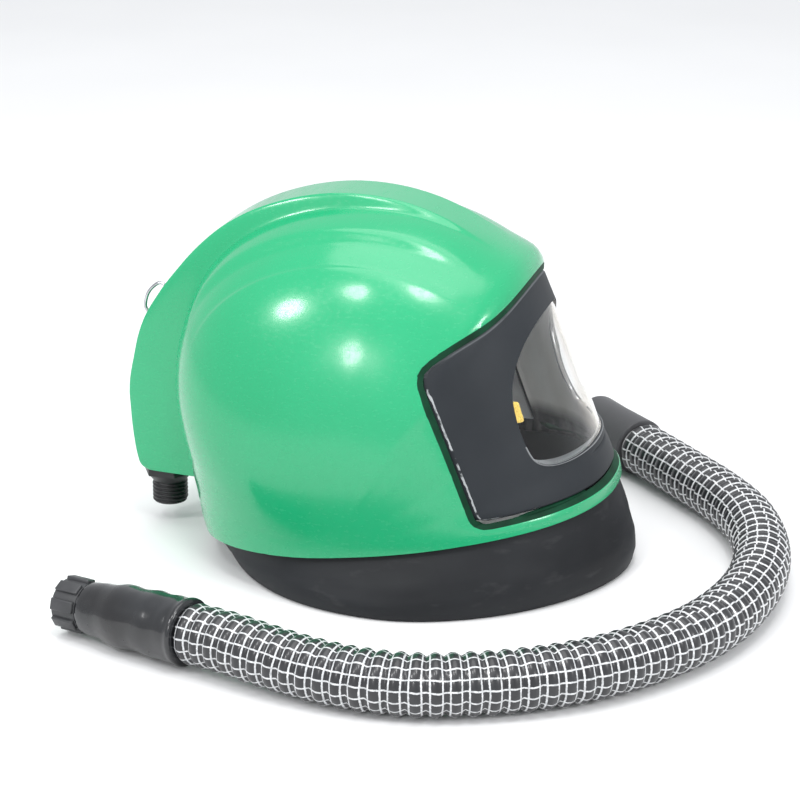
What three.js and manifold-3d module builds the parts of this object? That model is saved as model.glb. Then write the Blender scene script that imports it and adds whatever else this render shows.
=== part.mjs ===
// Sandblasting hood: a hollow moulded shell with a raised air duct from the back over the crown,
// a rubber visor frame with a curved lens, a neck skirt, a threaded air inlet, a wire staple,
// a lining, and a breathing hose with its sleeve, coupling nut and cuff that lies beside it.
// Millimetres, +Z up, the face looks along -Y, the origin is on the floor under the hood's middle.
import * as THREE from "three";
import { mergeVertices } from "three/addons/utils/BufferGeometryUtils.js";
import Module from "manifold-3d";

const wasm = await Module();
wasm.setup();

// Driving dimensions of the shell. The hood is drawn as half planes that turn about a line
// from ear to ear: turn 0 points backwards, 90 up and 180 forwards.
const PIVOT_HEIGHT = 44;
const DOME_REACH = 210;
const HALF_WIDTH = 127;
const SHELL_WALL = 3;
const DUCT_DEPTH = 50;
const DUCT_FLAT_HALF = 16;
const DUCT_HALF_WIDTH = 27;
const DUCT_FADE = 0.08;
const PLATEAU_RISE = 4.5;
const PLATEAU_FLAT_HALF = 50;
const PLATEAU_HALF_WIDTH = 59;
const RIM_HEIGHT = 42.5;

// Driving dimensions of the visor
const OPENING_CORNER = 6;
const FRAME_RECESS = 2.5;
const FRAME_THICKNESS = 5.5;
const FLANGE_WIDTH = 4;
const FLANGE_THICKNESS = 2.5;
const WINDOW_HALF_WIDTH = 74;
const WINDOW_MIDDLE_HEIGHT = 124;
const WINDOW_TOP = 65;
const WINDOW_BOTTOM = 31;
const WINDOW_TOP_POWER = 2.4;
const WINDOW_BOTTOM_POWER = 6;
const WINDOW_STEPS = 40;
const WINDOW_SETBACK = 42;
const LENS_RECESS = 5;
const LENS_THICKNESS = 2;
const PAD_WIDTH = 13;
const PAD_HEIGHT = 15;
const PAD_THICKNESS = 6;
const PAD_MIDDLE_HEIGHT = 133;
const PAD_OVERLAP = 1.5;

// Driving dimensions of the lining and the neck skirt
const LINING_WALL = 2;
const LINING_HEM_GAP = 16;
const LINING_FRONT_GAP = 7;
const SKIRT_WALL = 2.2;
const SKIRT_HEM = 4;
const SKIRT_TUCK = 6;
const SKIRT_HALF_WIDTH = 138;
const SKIRT_FRONT = 144;
const SKIRT_BACK = 140;
const SKIRT_CENTRE_Y = -40;
const SKIRT_SWELL = 5;
const SKIRT_FRONT_POWER = 1.72;
const SKIRT_BACK_POWER = 2.15;
const SKIRT_COLUMNS = 40;

// Driving dimensions of the air inlet, a three-quarter inch pipe thread
const INLET_Y = 165;
const INLET_BORE = 19;
const INLET_THREAD = 26.4;
const INLET_THREAD_LENGTH = 17;
const INLET_THREAD_DEPTH = 1;
const INLET_PITCH = 3.2;
const INLET_HEX = 35;
const INLET_HEX_HEIGHT = 6;
const INLET_TAPER_HEIGHT = 6;
const INLET_TAIL = 10;
const INLET_CREST = 0.6;

// Driving dimensions of the wire staple on the back of the duct
const STAPLE_TURN = 36.7;
const STAPLE_LENGTH = 24;
const STAPLE_STANDOFF = 9;
const STAPLE_WIRE = 2.6;
const STAPLE_SHOULDER = 0.75;

// Driving dimensions of the breathing hose and what is on it
const HOSE_DIAMETER = 41;
const HOSE_SIDES = 10;
const HOSE_STEPS = 48;
const SLEEVE_LENGTH = 84;
const SLEEVE_MOUTH = 46;
const CONNECTOR_TAIL = 25.4;
const CONNECTOR_TAIL_LENGTH = 26;
const CONNECTOR_NECK = 20;
const CONNECTOR_COLLAR = 23.2;
const CONNECTOR_COLLAR_HEIGHT = 3;
const CONNECTOR_BORE = 15;
const NUT_LENGTH = 20;
const NUT_DIAMETER = 34;
const NUT_BORE = 24.2;
const NUT_LIP = 4;
const NUT_RIBS = 8;
const NUT_RIB_WIDTH = 5;
const NUT_RIB_HEIGHT = 1.4;
const NUT_RIB_ROOT = 2;
const NUT_BEVEL = 1;
const NUT_CLEARANCE = 0.4;
const CUFF_LENGTH = 66;
const CUFF_DIAMETER = 44.5;
const CUFF_WALL = 4;
const CUFF_BEVEL = 0.8;

const GAP = 0.3;
const SEAT_GAP = 0.5;
const ROUND_SIDES = 16;
const WIRE_SIDES = 8;
const WIRE_STEPS = 14;
const CORNER_STEPS = 4;
const SEARCH_STEPS = 40;
const DEGREE = Math.PI / 180;

// Side view of the dome: reach as a share of DOME_REACH, fullness is the exponent across
const DOME_TABLE = [
  { turn: -180, reach: 0.838, fullness: 2.25 },
  { turn: -172, reach: 0.836, fullness: 2.25 },
  { turn: -150, reach: 0.714, fullness: 2.25 },
  { turn: -120, reach: 0.61, fullness: 2.27 },
  { turn: -90, reach: 0.571, fullness: 2.3 },
  { turn: -60, reach: 0.562, fullness: 2.28 },
  { turn: -35, reach: 0.576, fullness: 2.26 },
  { turn: -13, reach: 0.606, fullness: 2.25 },
  { turn: 1.3, reach: 0.626, fullness: 2.25 },
  { turn: 13.5, reach: 0.674, fullness: 2.28 },
  { turn: 23.6, reach: 0.748, fullness: 2.31 },
  { turn: 31.2, reach: 0.812, fullness: 2.34 },
  { turn: 39, reach: 0.871, fullness: 2.37 },
  { turn: 46.2, reach: 0.917, fullness: 2.4 },
  { turn: 53.6, reach: 0.952, fullness: 2.43 },
  { turn: 61, reach: 0.974, fullness: 2.45 },
  { turn: 69.5, reach: 0.988, fullness: 2.47 },
  { turn: 77.6, reach: 0.995, fullness: 2.48 },
  { turn: 86, reach: 0.998, fullness: 2.49 },
  { turn: 94, reach: 0.998, fullness: 2.5 },
  { turn: 101, reach: 0.998, fullness: 2.47 },
  { turn: 108.9, reach: 0.999, fullness: 2.44 },
  { turn: 115.1, reach: 1.003, fullness: 2.4 },
  { turn: 119.5, reach: 1.005, fullness: 2.38 },
  { turn: 122.2, reach: 0.99, fullness: 2.36 },
  { turn: 124.6, reach: 0.962, fullness: 2.34 },
  { turn: 130.3, reach: 0.912, fullness: 2.31 },
  { turn: 139.6, reach: 0.853, fullness: 2.26 },
  { turn: 150, reach: 0.819, fullness: 2.22 },
  { turn: 160.9, reach: 0.813, fullness: 2.21 },
  { turn: 168, reach: 0.827, fullness: 2.22 },
  { turn: 174.1, reach: 0.837, fullness: 2.24 },
  { turn: 180, reach: 0.838, fullness: 2.25 },
];

// The duct's rise over the dome as a share of DUCT_DEPTH, from its flat bottom to the brow
const DUCT_TABLE = [
  { turn: 0, rise: 0.88 },
  { turn: 0.8, rise: 0.96 },
  { turn: 2, rise: 1 },
  { turn: 6, rise: 1.02 },
  { turn: 16, rise: 1 },
  { turn: 27, rise: 0.82 },
  { turn: 33.7, rise: 0.7 },
  { turn: 40.8, rise: 0.54 },
  { turn: 47.7, rise: 0.42 },
  { turn: 54, rise: 0.37 },
  { turn: 60, rise: 0.35 },
  { turn: 66, rise: 0.33 },
  { turn: 74, rise: 0.3 },
  { turn: 83, rise: 0.27 },
  { turn: 92, rise: 0.225 },
  { turn: 99.5, rise: 0.165 },
  { turn: 104.8, rise: 0.105 },
  { turn: 110, rise: 0.045 },
  { turn: 116, rise: 0 },
  { turn: 180, rise: 0 },
];

// The low plateau on both sides of the duct, as a share of PLATEAU_RISE
const PLATEAU_TABLE = [
  { turn: 0, rise: 0 },
  { turn: 44, rise: 0 },
  { turn: 54, rise: 0.7 },
  { turn: 64, rise: 1 },
  { turn: 98, rise: 1 },
  { turn: 108, rise: 0.6 },
  { turn: 116, rise: 0 },
  { turn: 180, rise: 0 },
];

// The shell's lower edge: back as a share of DOME_REACH from the pivot, height of RIM_HEIGHT
const RIM_TABLE = [
  { back: -1.1, height: 1.68 },
  { back: -0.83, height: 1.48 },
  { back: -0.476, height: 1.22 },
  { back: -0.19, height: 1 },
  { back: 0.095, height: 0.81 },
  { back: 0.333, height: 0.68 },
  { back: 0.476, height: 0.57 },
  { back: 0.571, height: 0.43 },
  { back: 0.62, height: 0.31 },
  { back: 0.9, height: 0.1 },
];

// The visor opening in side view, as shares of DOME_REACH from the pivot
const OPENING_TABLE = [
  { back: -0.276, up: 0.588 },
  { back: -0.471, up: 0.095 },
  { back: -1.05, up: 0.176 },
  { back: -1.05, up: 1.198 },
];

// The skirt from floor to tuck: rise of the rim's height, lean from floor to rim outline, swell
const SKIRT_TABLE = [
  { rise: 0, lean: 0, swell: 0, hem: 1 },
  { rise: 0.1, lean: 0.02, swell: 0.6, hem: 1 },
  { rise: 0.27, lean: 0.1, swell: 1, hem: 0.3 },
  { rise: 0.5, lean: 0.34, swell: 0.85, hem: 0 },
  { rise: 0.75, lean: 0.68, swell: 0.4, hem: 0 },
  { rise: 0.97, lean: 1, swell: 0, hem: 0 },
];

// The sleeve's outside from nut to mouth: along as a share of its length, radius of its mouth
const SLEEVE_TABLE = [
  { along: 0, radius: 0.72 },
  { along: 0.06, radius: 0.78 },
  { along: 0.2, radius: 0.83 },
  { along: 0.34, radius: 0.93 },
  { along: 0.55, radius: 0.94 },
  { along: 0.8, radius: 0.96 },
  { along: 0.95, radius: 0.97 },
  { along: 0.97, radius: 1 },
  { along: 1, radius: 1 },
];

// The hose's route, chosen by hand from the sleeve's mouth round the front to the cuff's mouth
const HOSE_ROUTE = [
  [-239.5, 60, 23.3],
  [-248.4, 31.3, 24],
  [-257.4, 3.5, 23],
  [-264.4, -24, 21.6],
  [-269.2, -51.6, 20.8],
  [-270.8, -77.8, 20.8],
  [-268.1, -103.3, 20.8],
  [-260.5, -127, 20.8],
  [-250.2, -150.5, 20.8],
  [-237.2, -173.5, 20.8],
  [-221.2, -195.5, 20.8],
  [-200.9, -217, 20.8],
  [-176.2, -237, 20.8],
  [-142.9, -257.6, 20.8],
  [-97.5, -274, 20.8],
  [-43.2, -281.5, 20.8],
  [10.8, -276.7, 20.8],
  [63, -259, 20.8],
  [104.2, -231.5, 21],
  [133, -206, 21.4],
  [159.6, -181.4, 22],
  [183.7, -158, 22.6],
];

// Smooth curve through the rows of a table that never overshoots them
function curveOf(rows, key, value) {
  const xs = rows.map((row) => row[key]);
  const ys = rows.map((row) => row[value]);
  const last = xs.length - 1;
  const steps = xs.slice(1).map((x, i) => x - xs[i]);
  const slopes = steps.map((step, i) => (ys[i + 1] - ys[i]) / step);
  const tangents = xs.map((_, i) => {
    if (i === 0) return slopes[0];
    if (i === last) return slopes[last - 1];
    const before = slopes[i - 1];
    const after = slopes[i];
    if (before * after <= 0) return 0;
    const first = 2 * steps[i] + steps[i - 1];
    const second = steps[i] + 2 * steps[i - 1];
    return (first + second) / (first / before + second / after);
  });
  return (x) => {
    if (x <= xs[0]) return ys[0];
    if (x >= xs[last]) return ys[last];
    let i = 0;
    while (x > xs[i + 1]) i += 1;
    const t = (x - xs[i]) / steps[i];
    const square = t * t;
    const cube = square * t;
    return (
      ys[i] * (2 * cube - 3 * square + 1) +
      tangents[i] * steps[i] * (cube - 2 * square + t) +
      ys[i + 1] * (3 * square - 2 * cube) +
      tangents[i + 1] * steps[i] * (cube - square)
    );
  };
}

const domeReach = curveOf(DOME_TABLE, "turn", "reach");
const domeFullness = curveOf(DOME_TABLE, "turn", "fullness");
const ductRise = curveOf(DUCT_TABLE, "turn", "rise");
const plateauRise = curveOf(PLATEAU_TABLE, "turn", "rise");
const rimShare = curveOf(RIM_TABLE, "back", "height");
const rimHeight = (y) => RIM_HEIGHT * rimShare(y / DOME_REACH);

function smoothStep(value, start, end) {
  const t = Math.min(1, Math.max(0, (value - start) / (end - start)));
  return t * t * (3 - 2 * t);
}

// Reach of the surface that lies inset behind the outside, at one turn and distance across
function reachAt(across, turn, inset, ductStart) {
  const side = Math.abs(across);
  const top = domeReach(turn) * DOME_REACH - inset;
  const fullness = domeFullness(turn);
  const share = Math.min(1, side / (HALF_WIDTH - inset));
  let reach = top * (1 - share ** fullness) ** (1 / fullness);
  if (ductStart === null) return reach;
  const flank = 1 - smoothStep(side, PLATEAU_FLAT_HALF - inset, PLATEAU_HALF_WIDTH - inset);
  reach += PLATEAU_RISE * plateauRise(turn) * flank;
  if (turn < ductStart) return reach;
  const rise = ductRise(turn);
  const ridge = top + DUCT_DEPTH * rise;
  const wall = 1 - smoothStep(side, DUCT_FLAT_HALF - inset, DUCT_HALF_WIDTH - inset);
  const strength = Math.min(1, rise / DUCT_FADE);
  return reach + Math.max(0, ridge - reach) * wall * strength;
}

function pointAt(across, turn, reach) {
  return new THREE.Vector3(
    across,
    reach * Math.cos(turn * DEGREE),
    PIVOT_HEIGHT + reach * Math.sin(turn * DEGREE),
  );
}

// Lines across the outer half of the width, as shares of it, and turns all the way round
const SIDE_LINES = [0.58, 0.71, 0.82, 0.9, 0.955, 0.987];
const FINE_TURNS = [
  -150, -110, -70, -35, -20, -10, 6, 15, 24, 33, 42, 51, 60, 69, 78, 87, 96, 104, 110,
  115, 119.5, 122, 125, 131, 138, 146, 154, 162, 170, 178, -174, -163,
];
const COARSE_TURNS = [-150, -110, -70, -35, -10, 6, 24, 42, 60, 78, 96, 110, 119.5, 131, 146, 162, -163];

// The duct's wall and the plateau's flank get lines of their own; a plain layer needs fewer
function linesAcross(inset, ducted, coarse) {
  const sides = SIDE_LINES.map((share) => share * (HALF_WIDTH - inset));
  const plain = [0, DUCT_HALF_WIDTH - inset, PLATEAU_FLAT_HALF - inset];
  const ductWall = [0, 0.34, 0.67].map(
    (share) => DUCT_FLAT_HALF - inset + share * (DUCT_HALF_WIDTH - DUCT_FLAT_HALF),
  );
  const middle = (DUCT_HALF_WIDTH + PLATEAU_FLAT_HALF) / 2 - inset;
  const fine = [0, ...ductWall, plain[1], middle, plain[2], PLATEAU_HALF_WIDTH - inset, ...sides];
  const half = ducted ? fine : [...plain, ...sides.filter((_, i) => !coarse || i % 2)];
  return [...half.slice(1).reverse().map((x) => -x), ...half];
}

// Closed body of the dome, inset behind its outside, with the duct from ductStart or without one
function domeBody(inset, ductStart = null, coarse = false) {
  const ductTurns = ductStart === null ? [] : [ductStart - 0.02, ductStart, ductStart + 0.8, ductStart + 2];
  const turns = [...(coarse ? COARSE_TURNS : FINE_TURNS), ...ductTurns].sort((a, b) => a - b);
  const lines = linesAcross(inset, ductStart !== null, coarse);
  const positions = [];
  turns.forEach((turn) => {
    lines.forEach((across) => {
      positions.push(...pointAt(across, turn, reachAt(across, turn, inset, ductStart)).toArray());
    });
  });
  const poles = positions.length / 3;
  positions.push(-(HALF_WIDTH - inset), 0, PIVOT_HEIGHT, HALF_WIDTH - inset, 0, PIVOT_HEIGHT);
  const indices = [];
  turns.forEach((_, i) => {
    const here = i * lines.length;
    const next = ((i + 1) % turns.length) * lines.length;
    for (let j = 0; j < lines.length - 1; j += 1) {
      indices.push(here + j, next + j + 1, here + j + 1);
      indices.push(here + j, next + j, next + j + 1);
    }
    indices.push(poles, next, here);
    indices.push(poles + 1, here + lines.length - 1, next + lines.length - 1);
  });
  return geometryOf(positions, indices);
}

function geometryOf(positions, indices) {
  const geometry = new THREE.BufferGeometry();
  geometry.setAttribute("position", new THREE.Float32BufferAttribute(positions, 3));
  geometry.setIndex(indices);
  return geometry;
}

// From a three.js geometry to a solid that can be cut and joined, and back
function solidOf(geometry) {
  const bare = geometry.clone();
  bare.deleteAttribute("normal");
  bare.deleteAttribute("uv");
  const merged = mergeVertices(bare, 1e-4);
  const mesh = new wasm.Mesh({
    numProp: 3,
    vertProperties: new Float32Array(merged.attributes.position.array),
    triVerts: new Uint32Array(merged.index.array),
  });
  return new wasm.Manifold(mesh);
}

function fromSolid(solid) {
  const mesh = solid.getMesh();
  return geometryOf(Array.from(mesh.vertProperties), Array.from(mesh.triVerts));
}

// A side view outline given as [back, height] points, made as wide as the hood and more
function sideCutter(points) {
  const depth = 4 * HALF_WIDTH;
  const outline = new THREE.Shape(points.map(([back, height]) => new THREE.Vector2(back, height)));
  const geometry = new THREE.ExtrudeGeometry(outline, { depth, bevelEnabled: false });
  const basis = new THREE.Matrix4().makeBasis(
    new THREE.Vector3(0, 1, 0),
    new THREE.Vector3(0, 0, 1),
    new THREE.Vector3(1, 0, 0),
  );
  return solidOf(geometry.applyMatrix4(basis).translate(-depth / 2, 0, 0));
}

// Moves each side of an outline outwards by a distance and rounds the two corners on the cheek
function grownOpening(grow) {
  const corners = OPENING_TABLE.map(
    (row) => new THREE.Vector2(row.back * DOME_REACH, PIVOT_HEIGHT + row.up * DOME_REACH),
  );
  const count = corners.length;
  const sides = corners.map((corner, i) => {
    const along = corners[(i + 1) % count].clone().sub(corner).normalize();
    const outward = new THREE.Vector2(-along.y, along.x);
    return { origin: corner.clone().addScaledVector(outward, grow), along };
  });
  const moved = sides.map((side, i) => {
    const before = sides[(i + count - 1) % count];
    const cross = before.along.x * side.along.y - before.along.y * side.along.x;
    const offset = side.origin.clone().sub(before.origin);
    const distance = (offset.x * side.along.y - offset.y * side.along.x) / cross;
    return before.origin.clone().addScaledVector(before.along, distance);
  });
  const points = [];
  moved.forEach((corner, i) => {
    if (i > 1) {
      points.push([corner.x, corner.y]);
      return;
    }
    const start = corner.clone().addScaledVector(sides[(i + count - 1) % count].along, -OPENING_CORNER);
    const end = corner.clone().addScaledVector(sides[i].along, OPENING_CORNER);
    const bend = new THREE.QuadraticBezierCurve(start, corner, end);
    bend.getPoints(CORNER_STEPS).forEach((point) => points.push([point.x, point.y]));
  });
  return sideCutter(points);
}

// The visor window, seen from the front: a half oval above and a squarer one below
function windowCutter(grow) {
  const points = [];
  for (let i = 0; i < WINDOW_STEPS; i += 1) {
    const angle = (i / WINDOW_STEPS) * 2 * Math.PI;
    const sine = Math.sin(angle);
    const cosine = Math.cos(angle);
    const power = 2 / (sine > 0 ? WINDOW_TOP_POWER : WINDOW_BOTTOM_POWER);
    const tall = (sine > 0 ? WINDOW_TOP : WINDOW_BOTTOM) + grow;
    points.push(
      new THREE.Vector2(
        Math.sign(cosine) * Math.abs(cosine) ** power * (WINDOW_HALF_WIDTH + grow),
        WINDOW_MIDDLE_HEIGHT + Math.sign(sine) * Math.abs(sine) ** power * tall,
      ),
    );
  }
  const geometry = new THREE.ExtrudeGeometry(new THREE.Shape(points), {
    depth: DOME_REACH,
    bevelEnabled: false,
  });
  const basis = new THREE.Matrix4().makeBasis(
    new THREE.Vector3(1, 0, 0),
    new THREE.Vector3(0, 0, 1),
    new THREE.Vector3(0, -1, 0),
  );
  return solidOf(geometry.applyMatrix4(basis).translate(0, -WINDOW_SETBACK, 0));
}

// Everything below the shell's lower edge, raised by a distance
function belowRim(raise) {
  const edge = RIM_TABLE.map((row) => [row.back * DOME_REACH, row.height * RIM_HEIGHT + raise]);
  const reach = 2 * DOME_REACH;
  const corners = [[-reach, -reach], [reach, -reach], [reach, edge.at(-1)[1]]];
  return sideCutter([...corners, ...[...edge].reverse(), [-reach, edge[0][1]]]);
}

// A solid turned from [radius, height] points about +Z, moved to a place
function turned(points, sides = ROUND_SIDES) {
  const profile = points.map(([radius, height]) => new THREE.Vector2(radius, height));
  profile.push(profile[0].clone());
  const geometry = new THREE.LatheGeometry(profile, sides);
  return geometry.rotateX(Math.PI / 2);
}

function meshOf(name, geometry, color, roughness, metalness = 0) {
  const flat = geometry.index ? geometry.toNonIndexed() : geometry;
  flat.computeVertexNormals();
  const material = new THREE.MeshStandardMaterial({ color, roughness, metalness });
  const mesh = new THREE.Mesh(flat, material);
  mesh.name = name;
  return mesh;
}

// The shell: outside less inside, open at the neck and at the face, bored for the inlet
const ductFloorTurn = Math.asin(SHELL_WALL / (0.8 * DOME_REACH)) / DEGREE;
const inletHole = solidOf(
  new THREE.CylinderGeometry(INLET_THREAD / 2 + GAP, INLET_THREAD / 2 + GAP, 10 * SHELL_WALL, ROUND_SIDES)
    .rotateX(Math.PI / 2)
    .translate(0, INLET_Y, PIVOT_HEIGHT),
);

function shellGeometry() {
  const skin = solidOf(domeBody(0, 0)).subtract(solidOf(domeBody(SHELL_WALL, ductFloorTurn)));
  const cut = skin.subtract(belowRim(0)).subtract(grownOpening(0));
  return fromSolid(cut.subtract(inletHole));
}

function layer(outside, thickness, coarse = false) {
  const outer = solidOf(domeBody(outside, null, coarse));
  return outer.subtract(solidOf(domeBody(outside + thickness, null, coarse)));
}

// The rubber frame sits in the recess of the opening, and its flange lies behind the shell
function frameGeometry() {
  const face = layer(FRAME_RECESS, FRAME_THICKNESS).intersect(grownOpening(-GAP));
  const flange = layer(SHELL_WALL + SEAT_GAP, FLANGE_THICKNESS).intersect(grownOpening(FLANGE_WIDTH));
  return fromSolid(face.add(flange).subtract(windowCutter(0)));
}

// The lens fills the window between the frame's two faces
function lensGeometry() {
  return fromSolid(layer(LENS_RECESS, LENS_THICKNESS).intersect(windowCutter(-GAP)));
}

// The foam pad behind the window's end on the wearer's right, against the back of the frame
function padGeometry() {
  const middle = -(WINDOW_HALF_WIDTH + PAD_OVERLAP - PAD_WIDTH / 2);
  const block = new THREE.BoxGeometry(PAD_WIDTH, DOME_REACH, PAD_HEIGHT);
  block.translate(middle, -DOME_REACH / 2, PAD_MIDDLE_HEIGHT);
  const slab = layer(FRAME_RECESS + FRAME_THICKNESS + GAP, PAD_THICKNESS);
  return fromSolid(slab.intersect(solidOf(block)));
}

function liningGeometry() {
  const cloth = layer(SHELL_WALL + SEAT_GAP, LINING_WALL, true);
  return fromSolid(cloth.subtract(belowRim(LINING_HEM_GAP)).subtract(grownOpening(LINING_FRONT_GAP)));
}

// Distance from the skirt's middle line to a layer of the dome, in one direction at one height
function plainReach(angle, height, inset) {
  let near = 0;
  let far = DOME_REACH;
  for (let i = 0; i < SEARCH_STEPS; i += 1) {
    const middle = (near + far) / 2;
    const across = middle * Math.cos(angle);
    const back = SKIRT_CENTRE_Y + middle * Math.sin(angle);
    const turn = Math.atan2(height - PIVOT_HEIGHT, back) / DEGREE;
    const reach = Math.hypot(height - PIVOT_HEIGHT, back);
    const inside = Math.abs(across) < HALF_WIDTH - inset && reach < reachAt(across, turn, inset, null);
    if (inside) near = middle;
    else far = middle;
  }
  return near;
}

// The soft neck skirt: hangs from inside the rim and spreads to a rolled hem on the floor
function skirtGeometry() {
  const count = SKIRT_COLUMNS;
  const inset = SHELL_WALL + SEAT_GAP + GAP;
  const rings = [];
  const columns = Array.from({ length: count }, (_, i) => (i / count) * 2 * Math.PI);
  const floorReach = (angle) => {
    const sine = Math.sin(angle);
    const length = sine < 0 ? SKIRT_FRONT : SKIRT_BACK;
    const n = sine < 0 ? SKIRT_FRONT_POWER : SKIRT_BACK_POWER;
    const sum = Math.abs(Math.cos(angle) / SKIRT_HALF_WIDTH) ** n + Math.abs(sine / length) ** n;
    return sum ** (-1 / n);
  };
  const tops = columns.map((angle) => {
    let height = RIM_HEIGHT;
    for (let i = 0; i < 6; i += 1) {
      height = rimHeight(SKIRT_CENTRE_Y + plainReach(angle, height, 0) * Math.sin(angle));
    }
    return height;
  });
  const outline = (row, angle, height) => {
    const rim = plainReach(angle, height, inset);
    const floor = floorReach(angle);
    return floor + (rim - floor) * row.lean + SKIRT_SWELL * row.swell;
  };
  SKIRT_TABLE.forEach((row) => {
    rings.push(columns.map((angle, i) => [outline(row, angle, tops[i]), row.rise * tops[i], 0]));
  });
  rings.push(columns.map((angle, i) => {
    const height = tops[i] + SKIRT_TUCK;
    return [plainReach(angle, height, inset), height, 0];
  }));
  const wallOf = (k) => SKIRT_WALL + (SKIRT_TABLE[k] ? SKIRT_TABLE[k].hem : 0) * (SKIRT_HEM - SKIRT_WALL);
  const inner = rings.map((ring, k) => ring.map(([radius, height]) => [radius - wallOf(k), height]));
  const loop = [...rings, ...inner.reverse()];
  const positions = [];
  loop.forEach((ring) => {
    ring.forEach(([radius, height], i) => {
      const angle = columns[i];
      positions.push(radius * Math.cos(angle), SKIRT_CENTRE_Y + radius * Math.sin(angle), height);
    });
  });
  const indices = [];
  loop.forEach((_, k) => {
    const below = k * count;
    const above = ((k + 1) % loop.length) * count;
    for (let i = 0; i < count; i += 1) {
      const next = (i + 1) % count;
      indices.push(below + i, below + next, above + next);
      indices.push(below + i, above + next, above + i);
    }
  });
  return geometryOf(positions, indices);
}

// The threaded inlet: tail in the duct, hexagon under it, taper and thread, bored through
function inletGeometry() {
  const thread = INLET_THREAD / 2;
  const hexBottom = -GAP - INLET_HEX_HEIGHT;
  const taperBottom = hexBottom - INLET_TAPER_HEIGHT;
  const end = taperBottom - INLET_THREAD_LENGTH;
  const bore = INLET_BORE / 2;
  const corner = INLET_HEX / 2 / Math.cos(Math.PI / 6);
  const grooves = [];
  const turns = Math.floor((INLET_THREAD_LENGTH - INLET_PITCH) / INLET_PITCH);
  for (let i = 0; i < turns; i += 1) {
    const crest = end + (turns - i) * INLET_PITCH + INLET_CREST * INLET_PITCH;
    grooves.push([thread, crest], [thread - INLET_THREAD_DEPTH, crest - INLET_PITCH / 2]);
  }
  const profile = [
    [bore, SHELL_WALL + INLET_TAIL],
    [thread, SHELL_WALL + INLET_TAIL],
    [thread, hexBottom + INLET_HEX_HEIGHT / 2],
    [corner - 1, hexBottom + INLET_HEX_HEIGHT / 2],
    [thread, taperBottom],
    ...grooves,
    [thread, end + INLET_CREST * INLET_PITCH],
    [thread - INLET_THREAD_DEPTH, end],
    [bore, end],
  ];
  const body = solidOf(turned(profile.reverse()));
  const hexagon = new THREE.CylinderGeometry(corner, corner, INLET_HEX_HEIGHT, 6).rotateX(Math.PI / 2);
  hexagon.translate(0, 0, hexBottom + INLET_HEX_HEIGHT / 2);
  const core = new THREE.CylinderGeometry(bore, bore, 4 * INLET_TAIL, ROUND_SIDES).rotateX(Math.PI / 2);
  const joined = body.add(solidOf(hexagon)).subtract(solidOf(core));
  return fromSolid(joined).translate(0, INLET_Y, PIVOT_HEIGHT);
}

// The bent wire on the back of the duct. Its feet end on the smooth surface, which the facets
// of the shell lie a little inside of
function stapleGeometry() {
  const middle = reachAt(0, STAPLE_TURN, 0, 0);
  const half = STAPLE_LENGTH / 2 / middle / DEGREE;
  const place = (share, off) => {
    const turn = STAPLE_TURN + share * half;
    return pointAt(0, turn, reachAt(0, turn, 0, 0) + off);
  };
  const path = new THREE.CatmullRomCurve3([
    place(-1, 0),
    place(-1, STAPLE_STANDOFF / 2),
    place(-STAPLE_SHOULDER, STAPLE_STANDOFF - STAPLE_WIRE / 2),
    place(STAPLE_SHOULDER, STAPLE_STANDOFF - STAPLE_WIRE / 2),
    place(1, STAPLE_STANDOFF / 2),
    place(1, 0),
  ], false, "centripetal");
  return tubeAlong(path, STAPLE_WIRE / 2, WIRE_SIDES, WIRE_STEPS);
}

function tubeAlong(path, radius, sides, steps) {
  const section = new THREE.Shape();
  for (let i = 0; i < sides; i += 1) {
    const angle = ((i + 0.5) / sides) * 2 * Math.PI;
    const point = [radius * Math.cos(angle), radius * Math.sin(angle)];
    if (i === 0) section.moveTo(...point);
    else section.lineTo(...point);
  }
  section.closePath();
  return new THREE.ExtrudeGeometry(section, { steps, bevelEnabled: false, extrudePath: path });
}

const hosePath = new THREE.CatmullRomCurve3(
  HOSE_ROUTE.map((point) => new THREE.Vector3(...point)),
  false,
  "centripetal",
);

// A group at one end of the hose, its +Z pointing away from the hose
function hoseEnd(share) {
  const outward = hosePath.getTangent(share).multiplyScalar(share === 0 ? -1 : 1);
  const group = new THREE.Group();
  group.position.copy(hosePath.getPoint(share)).addScaledVector(outward, GAP);
  group.quaternion.setFromUnitVectors(new THREE.Vector3(0, 0, 1), outward);
  return group;
}

const sleeveBore = CONNECTOR_TAIL / 2 + GAP;

function sleeveGeometry() {
  const outside = SLEEVE_TABLE.map((row) => [
    row.radius * SLEEVE_MOUTH / 2,
    (1 - row.along) * SLEEVE_LENGTH,
  ]);
  return turned([[sleeveBore, SLEEVE_LENGTH], ...outside, [sleeveBore, 0]].reverse());
}

const nutStart = SLEEVE_LENGTH + NUT_CLEARANCE;
const collarStart = nutStart + NUT_LIP + NUT_CLEARANCE;

function connectorGeometry() {
  const bore = CONNECTOR_BORE / 2;
  const end = collarStart + CONNECTOR_COLLAR_HEIGHT;
  return turned([
    [bore, SLEEVE_LENGTH - CONNECTOR_TAIL_LENGTH],
    [CONNECTOR_TAIL / 2, SLEEVE_LENGTH - CONNECTOR_TAIL_LENGTH],
    [CONNECTOR_TAIL / 2, SLEEVE_LENGTH],
    [CONNECTOR_NECK / 2, SLEEVE_LENGTH],
    [CONNECTOR_NECK / 2, collarStart],
    [CONNECTOR_COLLAR / 2, collarStart],
    [CONNECTOR_COLLAR / 2, end],
    [bore, end],
  ]);
}

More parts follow.
